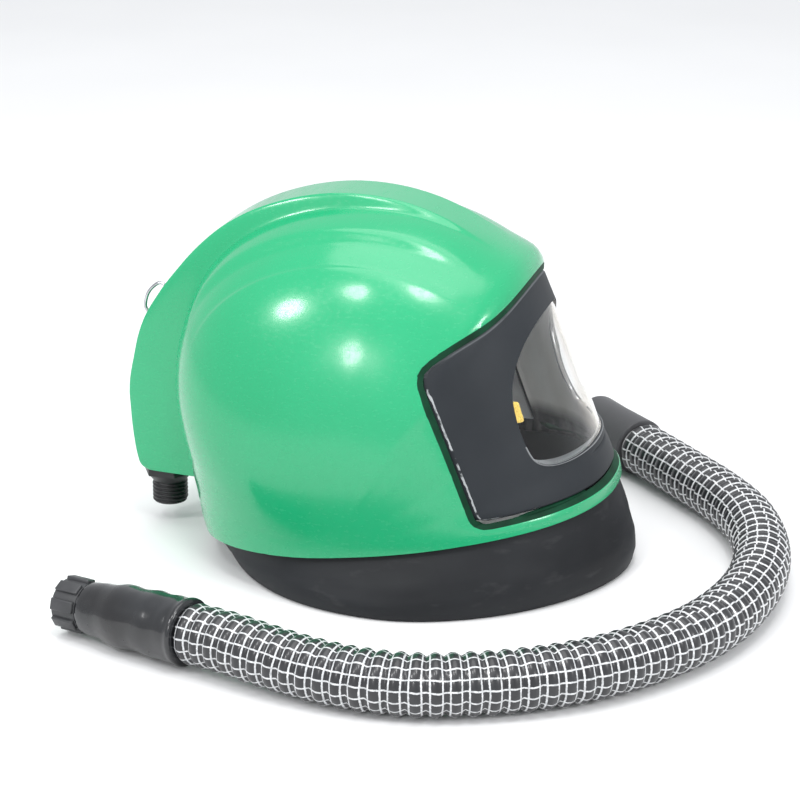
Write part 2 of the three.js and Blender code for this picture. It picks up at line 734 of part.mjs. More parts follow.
function nutGeometry() {
  const radius = NUT_DIAMETER / 2;
  const lipBore = CONNECTOR_NECK / 2 + NUT_CLEARANCE;
  const end = nutStart + NUT_LENGTH;
  const bevel = NUT_BEVEL;
  const body = solidOf(turned([
    [lipBore, nutStart],
    [radius - bevel, nutStart],
    [radius, nutStart + bevel],
    [radius, end - bevel],
    [radius - bevel, end],
    [NUT_BORE / 2, end],
    [NUT_BORE / 2, nutStart + NUT_LIP],
    [lipBore, nutStart + NUT_LIP],
  ]));
  let joined = body;
  for (let i = 0; i < NUT_RIBS; i += 1) {
    const rib = new THREE.BoxGeometry(NUT_RIB_ROOT + NUT_RIB_HEIGHT, NUT_RIB_WIDTH, NUT_LENGTH - 2 * bevel);
    rib.translate(radius + (NUT_RIB_HEIGHT - NUT_RIB_ROOT) / 2, 0, nutStart + NUT_LENGTH / 2);
    rib.rotateZ((i / NUT_RIBS) * 2 * Math.PI);
    joined = joined.add(solidOf(rib));
  }
  return fromSolid(joined);
}

function cuffGeometry() {
  const radius = CUFF_DIAMETER / 2;
  const bore = radius - CUFF_WALL;
  return turned([
    [bore, 0],
    [radius - CUFF_BEVEL, 0],
    [radius, CUFF_BEVEL],
    [radius, CUFF_LENGTH - 2 * CUFF_BEVEL],
    [radius - 2 * CUFF_BEVEL, CUFF_LENGTH],
    [bore, CUFF_LENGTH],
  ]);
}

const hood = new THREE.Group();
hood.add(meshOf("shell", shellGeometry(), 0x1fae66, 0.25));
hood.add(meshOf("visor_frame", frameGeometry(), 0x26282c, 0.7));
hood.add(meshOf("visor_lens", lensGeometry(), 0xe8eeee, 0.08));
hood.add(meshOf("yellow_pad", padGeometry(), 0xd8b23a, 0.9));
hood.add(meshOf("inner_lining", liningGeometry(), 0x8d9093, 0.95));
hood.add(meshOf("neck_skirt", skirtGeometry(), 0x232427, 0.75));
hood.add(meshOf("inlet_fitting", inletGeometry(), 0x17181a, 0.5));
hood.add(meshOf("rear_staple", stapleGeometry(), 0xc8ccd0, 0.25, 1));
const hoseTube = tubeAlong(hosePath, HOSE_DIAMETER / 2, HOSE_SIDES, HOSE_STEPS);
hood.add(meshOf("breathing_hose", hoseTube, 0x1b1c1f, 0.3));
const sleeveEnd = hoseEnd(0);
sleeveEnd.add(meshOf("hose_sleeve", sleeveGeometry(), 0x141517, 0.25));
sleeveEnd.add(meshOf("hose_connector", connectorGeometry(), 0x1c1d20, 0.5));
sleeveEnd.add(meshOf("coupling_nut", nutGeometry(), 0x2b2d30, 0.55));
const cuffEnd = hoseEnd(1);
cuffEnd.add(meshOf("hose_cuff", cuffGeometry(), 0x1d1e20, 0.6));
hood.add(sleeveEnd, cuffEnd);

export default hood;
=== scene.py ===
# %% [markdown]
# # A sandblasting hood with its breathing hose
# The hood is a hollow plastic shell with an air duct from the back over the crown, a rubber
# visor frame with a curved pane, and a rubber skirt. Its hose lies round the front of it.
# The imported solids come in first: they fix where every piece is, in metres, with +Z up.

# %% Load the frame
import math

import bmesh
import bpy
from mathutils import Matrix, Vector, noise


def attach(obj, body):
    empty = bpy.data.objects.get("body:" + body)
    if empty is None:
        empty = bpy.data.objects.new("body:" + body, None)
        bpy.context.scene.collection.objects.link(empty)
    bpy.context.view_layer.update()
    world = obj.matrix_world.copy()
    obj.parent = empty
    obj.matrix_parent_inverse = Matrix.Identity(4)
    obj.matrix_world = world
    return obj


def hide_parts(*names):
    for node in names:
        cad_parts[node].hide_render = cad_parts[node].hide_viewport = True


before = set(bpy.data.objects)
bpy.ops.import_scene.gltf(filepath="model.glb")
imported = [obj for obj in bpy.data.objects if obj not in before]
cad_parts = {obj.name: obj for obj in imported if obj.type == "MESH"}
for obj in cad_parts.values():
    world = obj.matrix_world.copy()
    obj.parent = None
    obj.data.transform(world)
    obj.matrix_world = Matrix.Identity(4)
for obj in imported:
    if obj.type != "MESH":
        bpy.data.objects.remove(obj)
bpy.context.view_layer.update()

MM = 0.001
GAP = 0.3

# %% [markdown]
# ## Camera
# The photograph was taken with a long lens from the wearer's right, a little above the crown.
# A long lens keeps the far end of the hose nearly as large as the near one.

# %% Camera
LENS = 110.25
CAMERA_PLACE = Vector((-1.601, -0.469, 0.693))
CAMERA_LOOK = Vector((0.9079, 0.2580, -0.3305))

camera = bpy.data.objects.new("camera", bpy.data.cameras.new("camera"))
bpy.context.collection.objects.link(camera)
camera.data.lens = LENS
camera.data.sensor_width = 36
camera.location = CAMERA_PLACE
camera.rotation_euler = CAMERA_LOOK.to_track_quat("-Z", "Y").to_euler()
bpy.context.scene.camera = camera
print("camera at", tuple(camera.location))

# %% [markdown]
# ## Small helpers
# Every new piece ends the same way: its doubles are merged, its faces point outwards, it is
# shaded smooth up to an angle, and it rides on a body and stands for its solid. An operator
# acts on all that is selected, so everything is deselected before each of them.

# %% Helpers for finishing a piece
def select_only(piece):
    bpy.ops.object.select_all(action="DESELECT")
    piece.select_set(True)
    bpy.context.view_layer.objects.active = piece


def clean(piece, merge=0.00002):
    """Merges doubles and turns all faces outwards."""
    select_only(piece)
    bpy.ops.object.mode_set(mode="EDIT")
    bpy.ops.mesh.select_all(action="SELECT")
    bpy.ops.mesh.remove_doubles(threshold=merge)
    bpy.ops.mesh.normals_make_consistent(inside=False)
    bpy.ops.object.mode_set(mode="OBJECT")


def smooth(piece, angle=35):
    select_only(piece)
    bpy.ops.object.shade_smooth_by_angle(angle=math.radians(angle))


def apply_modifier(piece, kind, **settings):
    select_only(piece)
    modifier = piece.modifiers.new(kind.lower(), kind)
    for key, value in settings.items():
        setattr(modifier, key, value)
    bpy.ops.object.modifier_apply(modifier=modifier.name)


def settle(piece, name, node, body="hood"):
    """Names the piece, lets it ride on a body and stand for its solid."""
    piece.name = name
    piece.data.name = name
    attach(piece, body)
    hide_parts(node)
    print(name, "-", len(piece.data.polygons), "faces")


def grid_piece(columns, rows, place):
    """A grid primitive; place(i, j) gives each point in millimetres."""
    bpy.ops.object.select_all(action="DESELECT")
    bpy.ops.mesh.primitive_grid_add(x_subdivisions=columns - 1, y_subdivisions=rows - 1, size=1)
    piece = bpy.context.object
    for vertex in piece.data.vertices:
        i = round((vertex.co.x + 0.5) * (columns - 1))
        j = round((vertex.co.y + 0.5) * (rows - 1))
        vertex.co = Vector(place(i, j)) * MM
    return piece


def grid_uv(piece, columns, rows, place):
    """Writes place(i, j) into the grid's UV map, before any of its points are merged."""
    layer = piece.data.uv_layers.active or piece.data.uv_layers.new()
    for loop in piece.data.loops:
        u, v = layer.data[loop.index].uv
        layer.data[loop.index].uv = place(round(u * (columns - 1)), round(v * (rows - 1)))


def smooth_step(value, start, end):
    t = min(1, max(0, (value - start) / (end - start)))
    return t * t * (3 - 2 * t)


# %% [markdown]
# ## The hose's route
# The hose lies on the floor from its sleeve, round the front of the hood, to its cuff. The
# points are those that the solids follow. A cord gets its route before its shape, because
# everything on it is set against its two ends.

# %% Hose route
HOSE_DIAMETER = 41
HOSE_ROUTE = [
    (-239.5, 60, 23.3), (-248.4, 31.3, 24), (-257.4, 3.5, 23), (-264.4, -24, 21.6),
    (-269.2, -51.6, 20.8), (-270.8, -77.8, 20.8), (-268.1, -103.3, 20.8),
    (-260.5, -127, 20.8), (-250.2, -150.5, 20.8), (-237.2, -173.5, 20.8),
    (-221.2, -195.5, 20.8), (-200.9, -217, 20.8), (-176.2, -237, 20.8),
    (-142.9, -257.6, 20.8), (-97.5, -274, 20.8), (-43.2, -281.5, 20.8),
    (10.8, -276.7, 20.8), (63, -259, 20.8), (104.2, -231.5, 21), (133, -206, 21.4),
    (159.6, -181.4, 22), (183.7, -158, 22.6),
]


def route_points(route, per_span=24):
    """Points on a centripetal spline through the route, a closely spaced chain."""
    points = [Vector(p) for p in route]
    points = [2 * points[0] - points[1], *points, 2 * points[-1] - points[-2]]
    chain = []
    for k in range(1, len(points) - 2):
        a, b, c, d = points[k - 1:k + 3]
        t1 = (b - a).length ** 0.5
        t2 = t1 + (c - b).length ** 0.5
        t3 = t2 + (d - c).length ** 0.5
        for i in range(per_span):
            t = t1 + (t2 - t1) * i / per_span
            ab = a * (t1 - t) / t1 + b * t / t1
            bc = b * (t2 - t) / (t2 - t1) + c * (t - t1) / (t2 - t1)
            cd = c * (t3 - t) / (t3 - t2) + d * (t - t2) / (t3 - t2)
            abc = ab * (t2 - t) / t2 + bc * t / t2
            bcd = bc * (t3 - t) / (t3 - t1) + cd * (t - t1) / (t3 - t1)
            chain.append(abc * (t2 - t) / (t2 - t1) + bcd * (t - t1) / (t2 - t1))
    chain.append(points[-2])
    return chain


chain = route_points(HOSE_ROUTE)
chain_lengths = [0]
for before, after in zip(chain, chain[1:]):
    chain_lengths.append(chain_lengths[-1] + (after - before).length)
hose_length = chain_lengths[-1]


def along_hose(distance):
    """The point at a distance along the route, and the direction there."""
    k = 0
    while k < len(chain) - 2 and chain_lengths[k + 1] < distance:
        k += 1
    span = chain_lengths[k + 1] - chain_lengths[k]
    point = chain[k].lerp(chain[k + 1], (distance - chain_lengths[k]) / span)
    first, last = max(0, k - 6), min(len(chain) - 1, k + 7)
    return point, (chain[last] - chain[first]).normalized()


print("hose length", round(hose_length), "mm")

# %% [markdown]
# ## The ribbed hose
# The real hose is a clear skin over a black coil, with a net of pale threads in the skin.
# A bevelled curve could only be smooth, so the tube is a grid that is wrapped round the
# route, with its radius rising over each rib. Its UV map counts threads round and ribs
# along, so that the net can be drawn by the material and bends with the hose.

# %% Hose tube
RIB_PITCH = 11.5
RIB_DEPTH = 2.6
THREADS_ROUND = 16
SIDES = 48
STEPS_PER_RIB = 10

ribs = round(hose_length / RIB_PITCH)
rings = ribs * STEPS_PER_RIB + 1
frames = []
side = Vector((0, 0, 1))
for j in range(rings):
    centre, forward = along_hose(hose_length * j / (rings - 1))
    side = (side - forward * side.dot(forward)).normalized()
    frames.append((centre, side.copy(), forward.cross(side)))


def hose_radius(turns):
    """Full rounded ribs with narrow valleys between them."""
    wave = 0.5 - 0.5 * math.cos(2 * math.pi * turns)
    return HOSE_DIAMETER / 2 - RIB_DEPTH * (1 - wave ** 0.6)


def hose_point(i, j):
    centre, first, second = frames[j]
    angle = 2 * math.pi * i / SIDES
    radius = hose_radius(j / STEPS_PER_RIB)
    return centre + first * (radius * math.cos(angle)) + second * (radius * math.sin(angle))


hose = grid_piece(SIDES + 1, rings, hose_point)
grid_uv(hose, SIDES + 1, rings, lambda i, j: (i / SIDES * THREADS_ROUND, j / STEPS_PER_RIB))
select_only(hose)
bpy.ops.object.mode_set(mode="EDIT")
bpy.ops.mesh.select_all(action="SELECT")
bpy.ops.mesh.remove_doubles(threshold=0.00002)
bpy.ops.mesh.select_all(action="DESELECT")
bpy.ops.mesh.select_non_manifold()
bpy.ops.mesh.edge_face_add()
bpy.ops.mesh.select_all(action="SELECT")
bpy.ops.mesh.normals_make_consistent(inside=False)
bpy.ops.object.mode_set(mode="OBJECT")
smooth(hose, 60)
settle(hose, "ribbed_hose", "breathing_hose")

# %% [markdown]
# ## Pieces that are turned
# The sleeve, the nut, the cuff and the air inlet are all round. Each is drawn as a closed
# outline of radius and height and spun about its axis, which is how a lathe would make it.

# %% Spin helper
def spun(outline, steps=64):
    """Spins a closed outline of (radius, height) about Z."""
    bpy.ops.object.select_all(action="DESELECT")
    bpy.ops.mesh.primitive_circle_add(vertices=len(outline), radius=1, fill_type="NOTHING")
    piece = bpy.context.object
    for vertex, (radius, height) in zip(piece.data.vertices, outline):
        vertex.co = (radius * MM, 0, height * MM)
    bpy.ops.object.mode_set(mode="EDIT")
    bpy.ops.mesh.select_all(action="SELECT")
    bpy.ops.mesh.spin(steps=steps, angle=2 * math.pi, center=(0, 0, 0), axis=(0, 0, 1))
    bpy.ops.object.mode_set(mode="OBJECT")
    clean(piece)
    return piece


def rounded(outline, corners):
    """Replaces the corners whose number is given by short arcs of that radius."""
    points = []
    count = len(outline)
    for k, corner in enumerate(outline):
        if k not in corners:
            points.append(corner)
            continue
        here = Vector(corner)
        before = Vector(outline[k - 1])
        after = Vector(outline[(k + 1) % count])
        start = here + (before - here).normalized() * corners[k]
        end = here + (after - here).normalized() * corners[k]
        for step in range(5):
            t = step / 4
            points.append(tuple(start * (1 - t) ** 2 + here * 2 * t * (1 - t) + end * t * t))
    return points


def hose_end(share):
    """Where a piece on the hose's end sits: its Z points away from the hose."""
    centre, forward = along_hose(share * hose_length)
    outward = forward * (-1 if share == 0 else 1)
    turn = Vector((0, 0, 1)).rotation_difference(outward)
    return Matrix.LocRotScale((centre + outward * GAP) * MM, turn, None)


def moved(piece, place):
    piece.data.transform(place)
    piece.data.update()


# %% [markdown]
# ## Sleeve
# A shrunk sleeve joins the hose to its connector: tight over both, with soft bulges where
# the hose's ribs and the connector's barbs press through, and a rolled lip at its mouth.
# The outline has the bulges, and a slow uneven swell is moved into it afterwards.

# %% Sleeve
SLEEVE_LENGTH = 84
SLEEVE_BORE = 13
SLEEVE_OUTSIDE = [
    (0, 16.6), (0.8, 17.2), (3, 17.8), (8, 18.4), (14, 18.7), (19, 19.1), (24, 20.2),
    (29, 21.3), (34, 21.8), (39, 21.6), (44, 21.2), (49, 21.4), (55, 21.9), (60, 21.8),
    (65, 21.7), (70, 22.1), (74, 22.2), (77, 22), (79.4, 22.1), (80.6, 22.8), (82, 23),
    (83.3, 22.8), (84, 22.1),
]


def uneven(piece, amount, scale, seed):
    """Moves points along their normals by noise; amount and scale are in millimetres."""
    normals = [vertex.normal.copy() for vertex in piece.data.vertices]
    for vertex, normal in zip(piece.data.vertices, normals):
        value = noise.noise(vertex.co / MM / scale + Vector((seed, 0, 0)))
        vertex.co += normal * value * amount * MM


outline = [(SLEEVE_BORE, 0.4)]
outline += [(radius, SLEEVE_LENGTH - along) for along, radius in reversed(SLEEVE_OUTSIDE)]
outline += [(SLEEVE_BORE, SLEEVE_LENGTH - 0.4)]
sleeve = spun(outline, 72)
for vertex in sleeve.data.vertices:
    radius = math.hypot(vertex.co.x, vertex.co.y) / MM
    if radius > SLEEVE_BORE + 2:
        height = vertex.co.z / MM
        swell = noise.noise(Vector((vertex.co.x, vertex.co.y, vertex.co.z * 1.6)) / MM / 17)
        fade = smooth_step(height, 0, 12) * (1 - smooth_step(height, 70, 84))
        vertex.co.xy *= 1 + 0.05 * swell * fade
moved(sleeve, hose_end(0))
smooth(sleeve, 50)
settle(sleeve, "shrunk_sleeve", "hose_sleeve")

# %% [markdown]
# ## Coupling nut
# A moulded plastic nut that turns on the connector: a bored barrel with eight raised grips.
# The grips are one block, bevelled and copied round the axis, and sunk a little into the
# barrel so that nothing shows between them.

# %% Coupling nut
NUT_START = 84.4
NUT_LENGTH = 20
NUT_RADIUS = 17
NUT_BORE = 12.1
NUT_LIP = 4
NUT_LIP_BORE = 10.4
GRIPS = 8
GRIP_WIDTH = 8.2
GRIP_HEIGHT = 1.3

end = NUT_START + NUT_LENGTH
outline = rounded([
    (NUT_LIP_BORE, NUT_START), (NUT_RADIUS - 0.6, NUT_START), (NUT_RADIUS - 0.6, end - 0.4),
    (NUT_RADIUS - 2.2, end), (NUT_BORE, end), (NUT_BORE, NUT_START + NUT_LIP),
    (NUT_LIP_BORE, NUT_START + NUT_LIP),
], {1: 0.8, 2: 0.6, 3: 0.6, 4: 0.6})
nut = spun(outline, 64)
grips = []
for k in range(GRIPS):
    bpy.ops.object.select_all(action="DESELECT")
    bpy.ops.mesh.primitive_cube_add(size=1)
    grip = bpy.context.object
    grip.data.transform(Matrix.Diagonal((3.4 * MM, GRIP_WIDTH * MM, (NUT_LENGTH - 1.6) * MM, 1)))
    apply_modifier(grip, "BEVEL", width=0.9 * MM, segments=3)
    grip.data.transform(Matrix.Translation((
        (NUT_RADIUS - 1.7 + GRIP_HEIGHT) * MM, 0, (NUT_START + NUT_LENGTH / 2) * MM)))
    grip.data.transform(Matrix.Rotation(2 * math.pi * k / GRIPS, 4, "Z"))
    grips.append(grip)
select_only(nut)
for grip in grips:
    grip.select_set(True)
bpy.ops.object.join()
moved(nut, hose_end(0))
smooth(nut, 40)
settle(nut, "grip_nut", "coupling_nut", "nut")

# %% [markdown]
# ## Cuff
# The far end is a plain rubber cuff, open at its mouth.

# %% Cuff
CUFF_LENGTH = 66
CUFF_RADIUS = 22.25
CUFF_BORE = 18.25

cuff = spun(rounded([
    (CUFF_BORE, 0), (CUFF_RADIUS, 0), (CUFF_RADIUS - 0.5, CUFF_LENGTH * 0.6),
    (CUFF_RADIUS, CUFF_LENGTH), (CUFF_BORE, CUFF_LENGTH),
], {1: 1.2, 3: 3.5, 4: 0.8}), 72)
moved(cuff, hose_end(1))
smooth(cuff, 50)
settle(cuff, "rubber_cuff", "hose_cuff")

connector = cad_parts["hose_connector"]

# %% [markdown]
# ## The shape of the hood
# The hood is one moulded form. It is described by half planes that turn about a line from
# ear to ear: turn 0 points backwards, 90 up and 180 forwards. Two tables hold its side view
# and the duct's rise, and a rounded power curve gives the width. A table like this is
# easier to compare with the photograph than sculpting would be, and every layer of the
# hood, from shell to lining, is the same form at another depth.

# %% Form of the hood
PIVOT = 44
REACH = 210
HALF_WIDTH = 127
DUCT_DEPTH = 50
DUCT_FLAT = 18.5
DUCT_EDGE = 25
PLATEAU_RISE = 4.5
PLATEAU_FLAT = 50
PLATEAU_EDGE = 59
RIM_HEIGHT = 42.5

DOME_REACH = [
    (-180, 0.838), (-172, 0.836), (-150, 0.714), (-120, 0.61), (-90, 0.571), (-60, 0.562),
    (-35, 0.576), (-13, 0.606), (1.3, 0.626), (13.5, 0.674), (23.6, 0.748), (31.2, 0.812),
    (39, 0.871), (46.2, 0.917), (53.6, 0.952), (61, 0.974), (69.5, 0.988), (77.6, 0.995),
    (86, 0.998), (94, 0.998), (101, 0.998), (108.9, 0.999), (115.1, 1.003), (119.5, 1.005),
    (122.2, 0.99), (124.6, 0.962), (130.3, 0.912), (139.6, 0.853), (150, 0.819),
    (160.9, 0.813), (168, 0.827), (174.1, 0.837), (180, 0.838),
]
DOME_FULLNESS = [
    (-180, 2.25), (-150, 2.25), (-120, 2.27), (-90, 2.3), (-60, 2.28), (-35, 2.26),
    (-13, 2.25), (1.3, 2.25), (13.5, 2.28), (23.6, 2.31), (31.2, 2.34), (39, 2.37),
    (46.2, 2.4), (53.6, 2.43), (61, 2.45), (69.5, 2.47), (77.6, 2.48), (86, 2.49),
    (94, 2.5), (101, 2.47), (108.9, 2.44), (115.1, 2.4), (119.5, 2.38), (122.2, 2.36),
    (124.6, 2.34), (130.3, 2.31), (139.6, 2.26), (150, 2.22), (160.9, 2.21), (168, 2.22),
    (174.1, 2.24), (180, 2.25),
]
DUCT_RISE = [
    (0, 0.88), (0.8, 0.96), (2, 1), (6, 1.02), (16, 1), (27, 0.82), (33.7, 0.7),
    (40.8, 0.54), (47.7, 0.42), (54, 0.37), (60, 0.35), (66, 0.33), (74, 0.3), (83, 0.27),
    (92, 0.225), (99.5, 0.165), (104.8, 0.105), (110, 0.045), (116, 0), (180, 0),
]
PLATEAU = [(0, 0), (44, 0), (54, 0.7), (64, 1), (98, 1), (108, 0.6), (116, 0), (180, 0)]
RIM = [
    (-1.1, 1.68), (-0.83, 1.48), (-0.476, 1.22), (-0.19, 1), (0.095, 0.81), (0.333, 0.68),
    (0.476, 0.57), (0.571, 0.43), (0.62, 0.31), (0.9, 0.1),
]


def curve_through(table):
    """A smooth curve through the table's points that never overshoots them."""
    xs, ys = zip(*table)
    last = len(xs) - 1
    steps = [xs[i + 1] - xs[i] for i in range(last)]
    slopes = [(ys[i + 1] - ys[i]) / steps[i] for i in range(last)]
    tangents = [slopes[0]]
    for i in range(1, last):
        before, after = slopes[i - 1], slopes[i]
        if before * after <= 0:
            tangents.append(0)
            continue
        first = 2 * steps[i] + steps[i - 1]
        second = steps[i] + 2 * steps[i - 1]
        tangents.append((first + second) / (first / before + second / after))
    tangents.append(slopes[-1])

    def value(x):
        if x <= xs[0]:
            return ys[0]
        if x >= xs[-1]:
            return ys[-1]
        i = 0
        while x > xs[i + 1]:
            i += 1
        t = (x - xs[i]) / steps[i]
        return (ys[i] * (2 * t ** 3 - 3 * t * t + 1)
                + tangents[i] * steps[i] * (t ** 3 - 2 * t * t + t)
                + ys[i + 1] * (3 * t * t - 2 * t ** 3)
                + tangents[i + 1] * steps[i] * (t ** 3 - t * t))

    return value


dome_reach = curve_through(DOME_REACH)
dome_fullness = curve_through(DOME_FULLNESS)
duct_rise = curve_through(DUCT_RISE)
plateau = curve_through(PLATEAU)
rim_share = curve_through(RIM)


def rim_height(y):
    return RIM_HEIGHT * rim_share(y / REACH)


def plain_reach(across, turn, inset):
    """Reach of the plain dome, at a depth behind its outside."""
    share = min(1, abs(across) / (HALF_WIDTH - inset))
    fullness = dome_fullness(turn)
    return (dome_reach(turn) * REACH - inset) * (1 - share ** fullness) ** (1 / fullness)


def ducted_reach(across, turn, inset=0):
    """Reach of the shell with its plateau and its air duct."""
    side = abs(across)
    reach = plain_reach(across, turn, inset)
    flank = 1 - smooth_step(side, PLATEAU_FLAT - inset, PLATEAU_EDGE - inset)
    reach += PLATEAU_RISE * plateau(turn) * flank
    if turn < 0:
        return reach
    rise = duct_rise(turn)
    ridge = dome_reach(turn) * REACH - inset + DUCT_DEPTH * rise
    wall = 1 - smooth_step(side, DUCT_FLAT - inset, DUCT_EDGE - inset)
    return reach + max(0, ridge - reach) * wall * min(1, rise / 0.08)


def on_turn(across, turn, reach):
    angle = math.radians(turn)
    return across, reach * math.cos(angle), PIVOT + reach * math.sin(angle)


print("crown at", round(on_turn(0, 90, ducted_reach(0, 90))[2], 1), "mm")

# %% [markdown]
# ## Cutting along a line
# Bisect cuts a mesh along a plane, but the hood's lower edge and the visor opening are
# curved lines with rounded corners. This helper does the same along any line: it splits
# each edge that crosses the line, joins the new points across their faces, and can delete
# what lies beyond.

# %% Cut along a line
def score(piece, beyond, drop=True):
    """Cuts where beyond(x, y, z) in millimetres is zero; what is above zero may be dropped."""
    mesh = bmesh.new()
    mesh.from_mesh(piece.data)
    value = {vertex: beyond(*(vertex.co / MM)) for vertex in mesh.verts}
    for vertex in mesh.verts:
        if abs(value[vertex]) < 0.05:
            value[vertex] = 0
    for edge in list(mesh.edges):
        a, b = edge.verts
        if value[a] * value[b] < 0:
            share = value[a] / (value[a] - value[b])
            _, new = bmesh.utils.edge_split(edge, a, share)
            value[new] = 0
    for face in list(mesh.faces):
        corners = face.verts[:]
        line = [k for k, vertex in enumerate(corners) if value[vertex] == 0]
        if len(line) == 2 and (line[1] - line[0]) not in (1, len(corners) - 1):
            bmesh.utils.face_split(face, corners[line[0]], corners[line[1]])
    if drop:
        gone = [f for f in mesh.faces if sum(value[v] for v in f.verts) > 0]
        bmesh.ops.delete(mesh, geom=gone, context="FACES")
    mesh.to_mesh(piece.data)
    mesh.free()


OPENING = [(-58, 167.5), (-98.9, 64), (-220.5, 81), (-220.5, 295.6)]
OPENING_CORNER = 6
BROW_SAG = 4
BROW_FRONT = -114


def beyond_opening(y, z):
    """Distance outside the visor opening in side view; negative inside it."""
    distances = []
    for k in (0, 1, 3):
        start = Vector(OPENING[k])
        end = Vector(OPENING[(k + 1) % 4])
        along = (end - start).normalized()
        distances.append((Vector((y, z)) - start).dot(Vector((-along.y, along.x))))
    cheek, bottom, brow = distances  # the brow line bulges forward near the window
    along_brow = min(1, max(0, (OPENING[0][0] - y) / (OPENING[0][0] - BROW_FRONT)))
    brow += BROW_SAG * math.sin(math.pi * along_brow ** 2.4)

    def corner(a, b):
        a, b = a + OPENING_CORNER, b + OPENING_CORNER
        return math.hypot(max(a, 0), max(b, 0)) + min(max(a, b), 0) - OPENING_CORNER

    return max(corner(cheek, bottom), corner(cheek, brow))


print("opening: 0 at its edge,", round(beyond_opening(-160, 150), 1), "in its middle")

# %% [markdown]
# ## Shell
# The shell is moulded plastic 3 mm thick. It starts as a grid: its columns are lines across
# the hood, close together where the duct's wall and the crease are, and its rows are turns
# all the way round. Then it is cut along its lower edge and round the visor, where the
# plastic dips in a slanted lip, and Solidify gives the wall.

# %% Shell
SHELL_WALL = 3
LIP_WIDTH = 4
LIP_DEPTH = 3.6
CREASE = 76

half_lines = [
    0, 4, 8, 12, 15, 17, 18, 18.6, 19.2, 19.8, 20.4, 21, 21.6, 22.2, 22.8, 23.4, 24, 24.6, 25.3,
    26.3, 28, 30, 33, 37, 41, 45, 48, 50, 51.3, 52.6, 53.9, 55.2, 56.5, 57.8, 59, 60.5, 63,
    66, 69, 71.5, 73.5, 75, 76, 77, 78.5, 80.5, 83, 86, 89, 92, 95, 98, 101, 104, 106.5, 109,
    111.5, 113.7, 115.7, 117.5, 119.1, 120.5, 121.8, 122.9, 123.9, 124.8, 125.5, 126.1, 126.6, 126.9, 127,
]
shell_lines = [-x for x in reversed(half_lines[1:])] + half_lines
shell_turns = [-20 + 1.5 * k for k in range(13)] + [-1, -0.02]
shell_turns += [0, 0.25, 0.5, 0.8, 1.1, 1.5, 2, 2.6, 3.4, 4.4, 5.6]
shell_turns += [7 + 1.5 * k for k in range(69)]
shell_turns += [110.5 + k for k in range(20)] + [131 + 1.5 * k for k in range(32)]
shell_turns += [180 + 5 * k for k in range(1, 33)]


def crease(across, turn):
    """The soft crease that runs along the hood below the plateau."""
    along = smooth_step(turn, 42, 60) * (1 - smooth_step(turn, 104, 118))
    side = abs(across)
    below = smooth_step(side, CREASE - 3, CREASE + 1) * (1 - smooth_step(side, CREASE + 2, 112))
    return 1.5 * along * below


def shell_point(i, j):
    across = shell_lines[i]
    turn = shell_turns[j % len(shell_turns)]
    signed = turn if turn <= 180 else turn - 360
    reach = ducted_reach(across, signed)
    point = on_turn(across, signed, reach)
    outside = beyond_opening(point[1], point[2])
    if -2 < outside < LIP_WIDTH and point[1] < 0:
        reach -= LIP_DEPTH * (1 - max(0, outside) / LIP_WIDTH)
    if signed > 0:
        reach += crease(across, signed)
    return on_turn(across, signed, reach)


shell = grid_piece(len(shell_lines), len(shell_turns) + 1, shell_point)
clean(shell)
score(shell, lambda x, y, z: rim_height(y) - z)
score(shell, lambda x, y, z: beyond_opening(y, z) - LIP_WIDTH if y < 0 else 1, drop=False)
score(shell, lambda x, y, z: -beyond_opening(y, z) if y < 0 else -1)
clean(shell, 0.0003)
apply_modifier(shell, "SOLIDIFY", thickness=SHELL_WALL * MM, offset=-1)
smooth(shell, 32)
settle(shell, "moulded_shell", "shell")

# %% [markdown]
# ## Visor frame
# The frame is a thick rubber moulding that fills the opening and holds the pane. Its grid
# runs round the window: the rows go from the window's edge out to the opening's edge, so
# that the bead and the groove round the window are simply rows at other depths.

# %% Visor frame
WINDOW_HALF_WIDTH = 74
WINDOW_MIDDLE = 124
WINDOW_UP = 65
WINDOW_DOWN = 31
WINDOW_ARCH = 4.5
WINDOW_POWER_UP = 2.4
WINDOW_POWER_DOWN = 6
FRAME_INSET = 2.5
FRAME_WALL = 5.5
FRAME_GAP = 0.6
FRAME_COLUMNS = 240


def window_share(across, height):
    """1 on the window's edge, less inside it. The lower edge is arched a little."""
    up = height - WINDOW_MIDDLE
    power = WINDOW_POWER_UP if up > 0 else WINDOW_POWER_DOWN
    arch = WINDOW_ARCH * max(0, 1 - (across / WINDOW_HALF_WIDTH) ** 2)
    tall = WINDOW_UP if up > 0 else WINDOW_DOWN - arch
    return (abs(across) / WINDOW_HALF_WIDTH) ** power + (abs(up) / tall) ** power


def front_of(across, height, inset):
    """The point of a plain layer that is seen at this place from the front."""
    near, far = 0, 1.1 * REACH
    for _ in range(22):
        back = (near + far) / 2
        turn = math.degrees(math.atan2(height - PIVOT, -back))
        inside = math.hypot(height - PIVOT, back) < plain_reach(across, turn, inset)
        near, far = (back, far) if inside else (near, back)
    return across, -near, height


def ray_until(angle, stops, far):
    """Distance from the window's middle at which stops(across, height) first holds."""
    low, high = 0, far
    for _ in range(22):
        middle = (low + high) / 2
        across = middle * math.cos(angle)
        height = WINDOW_MIDDLE + middle * math.sin(angle)
        low, high = (low, middle) if stops(across, height) else (middle, high)
    return low


def outside_window(across, height):
    return window_share(across, height) > 1


def outside_frame(across, height):
    if abs(across) > HALF_WIDTH - FRAME_INSET - 2:
        return True
    point = front_of(across, height, FRAME_INSET)
    return point[1] > -20 or beyond_opening(point[1], point[2]) > -FRAME_GAP


frame_rays = []
for i in range(FRAME_COLUMNS):
    angle = 2 * math.pi * i / FRAME_COLUMNS
    window = ray_until(angle, outside_window, 120)
    frame_rays.append((angle, window, ray_until(angle, outside_frame, 150)))

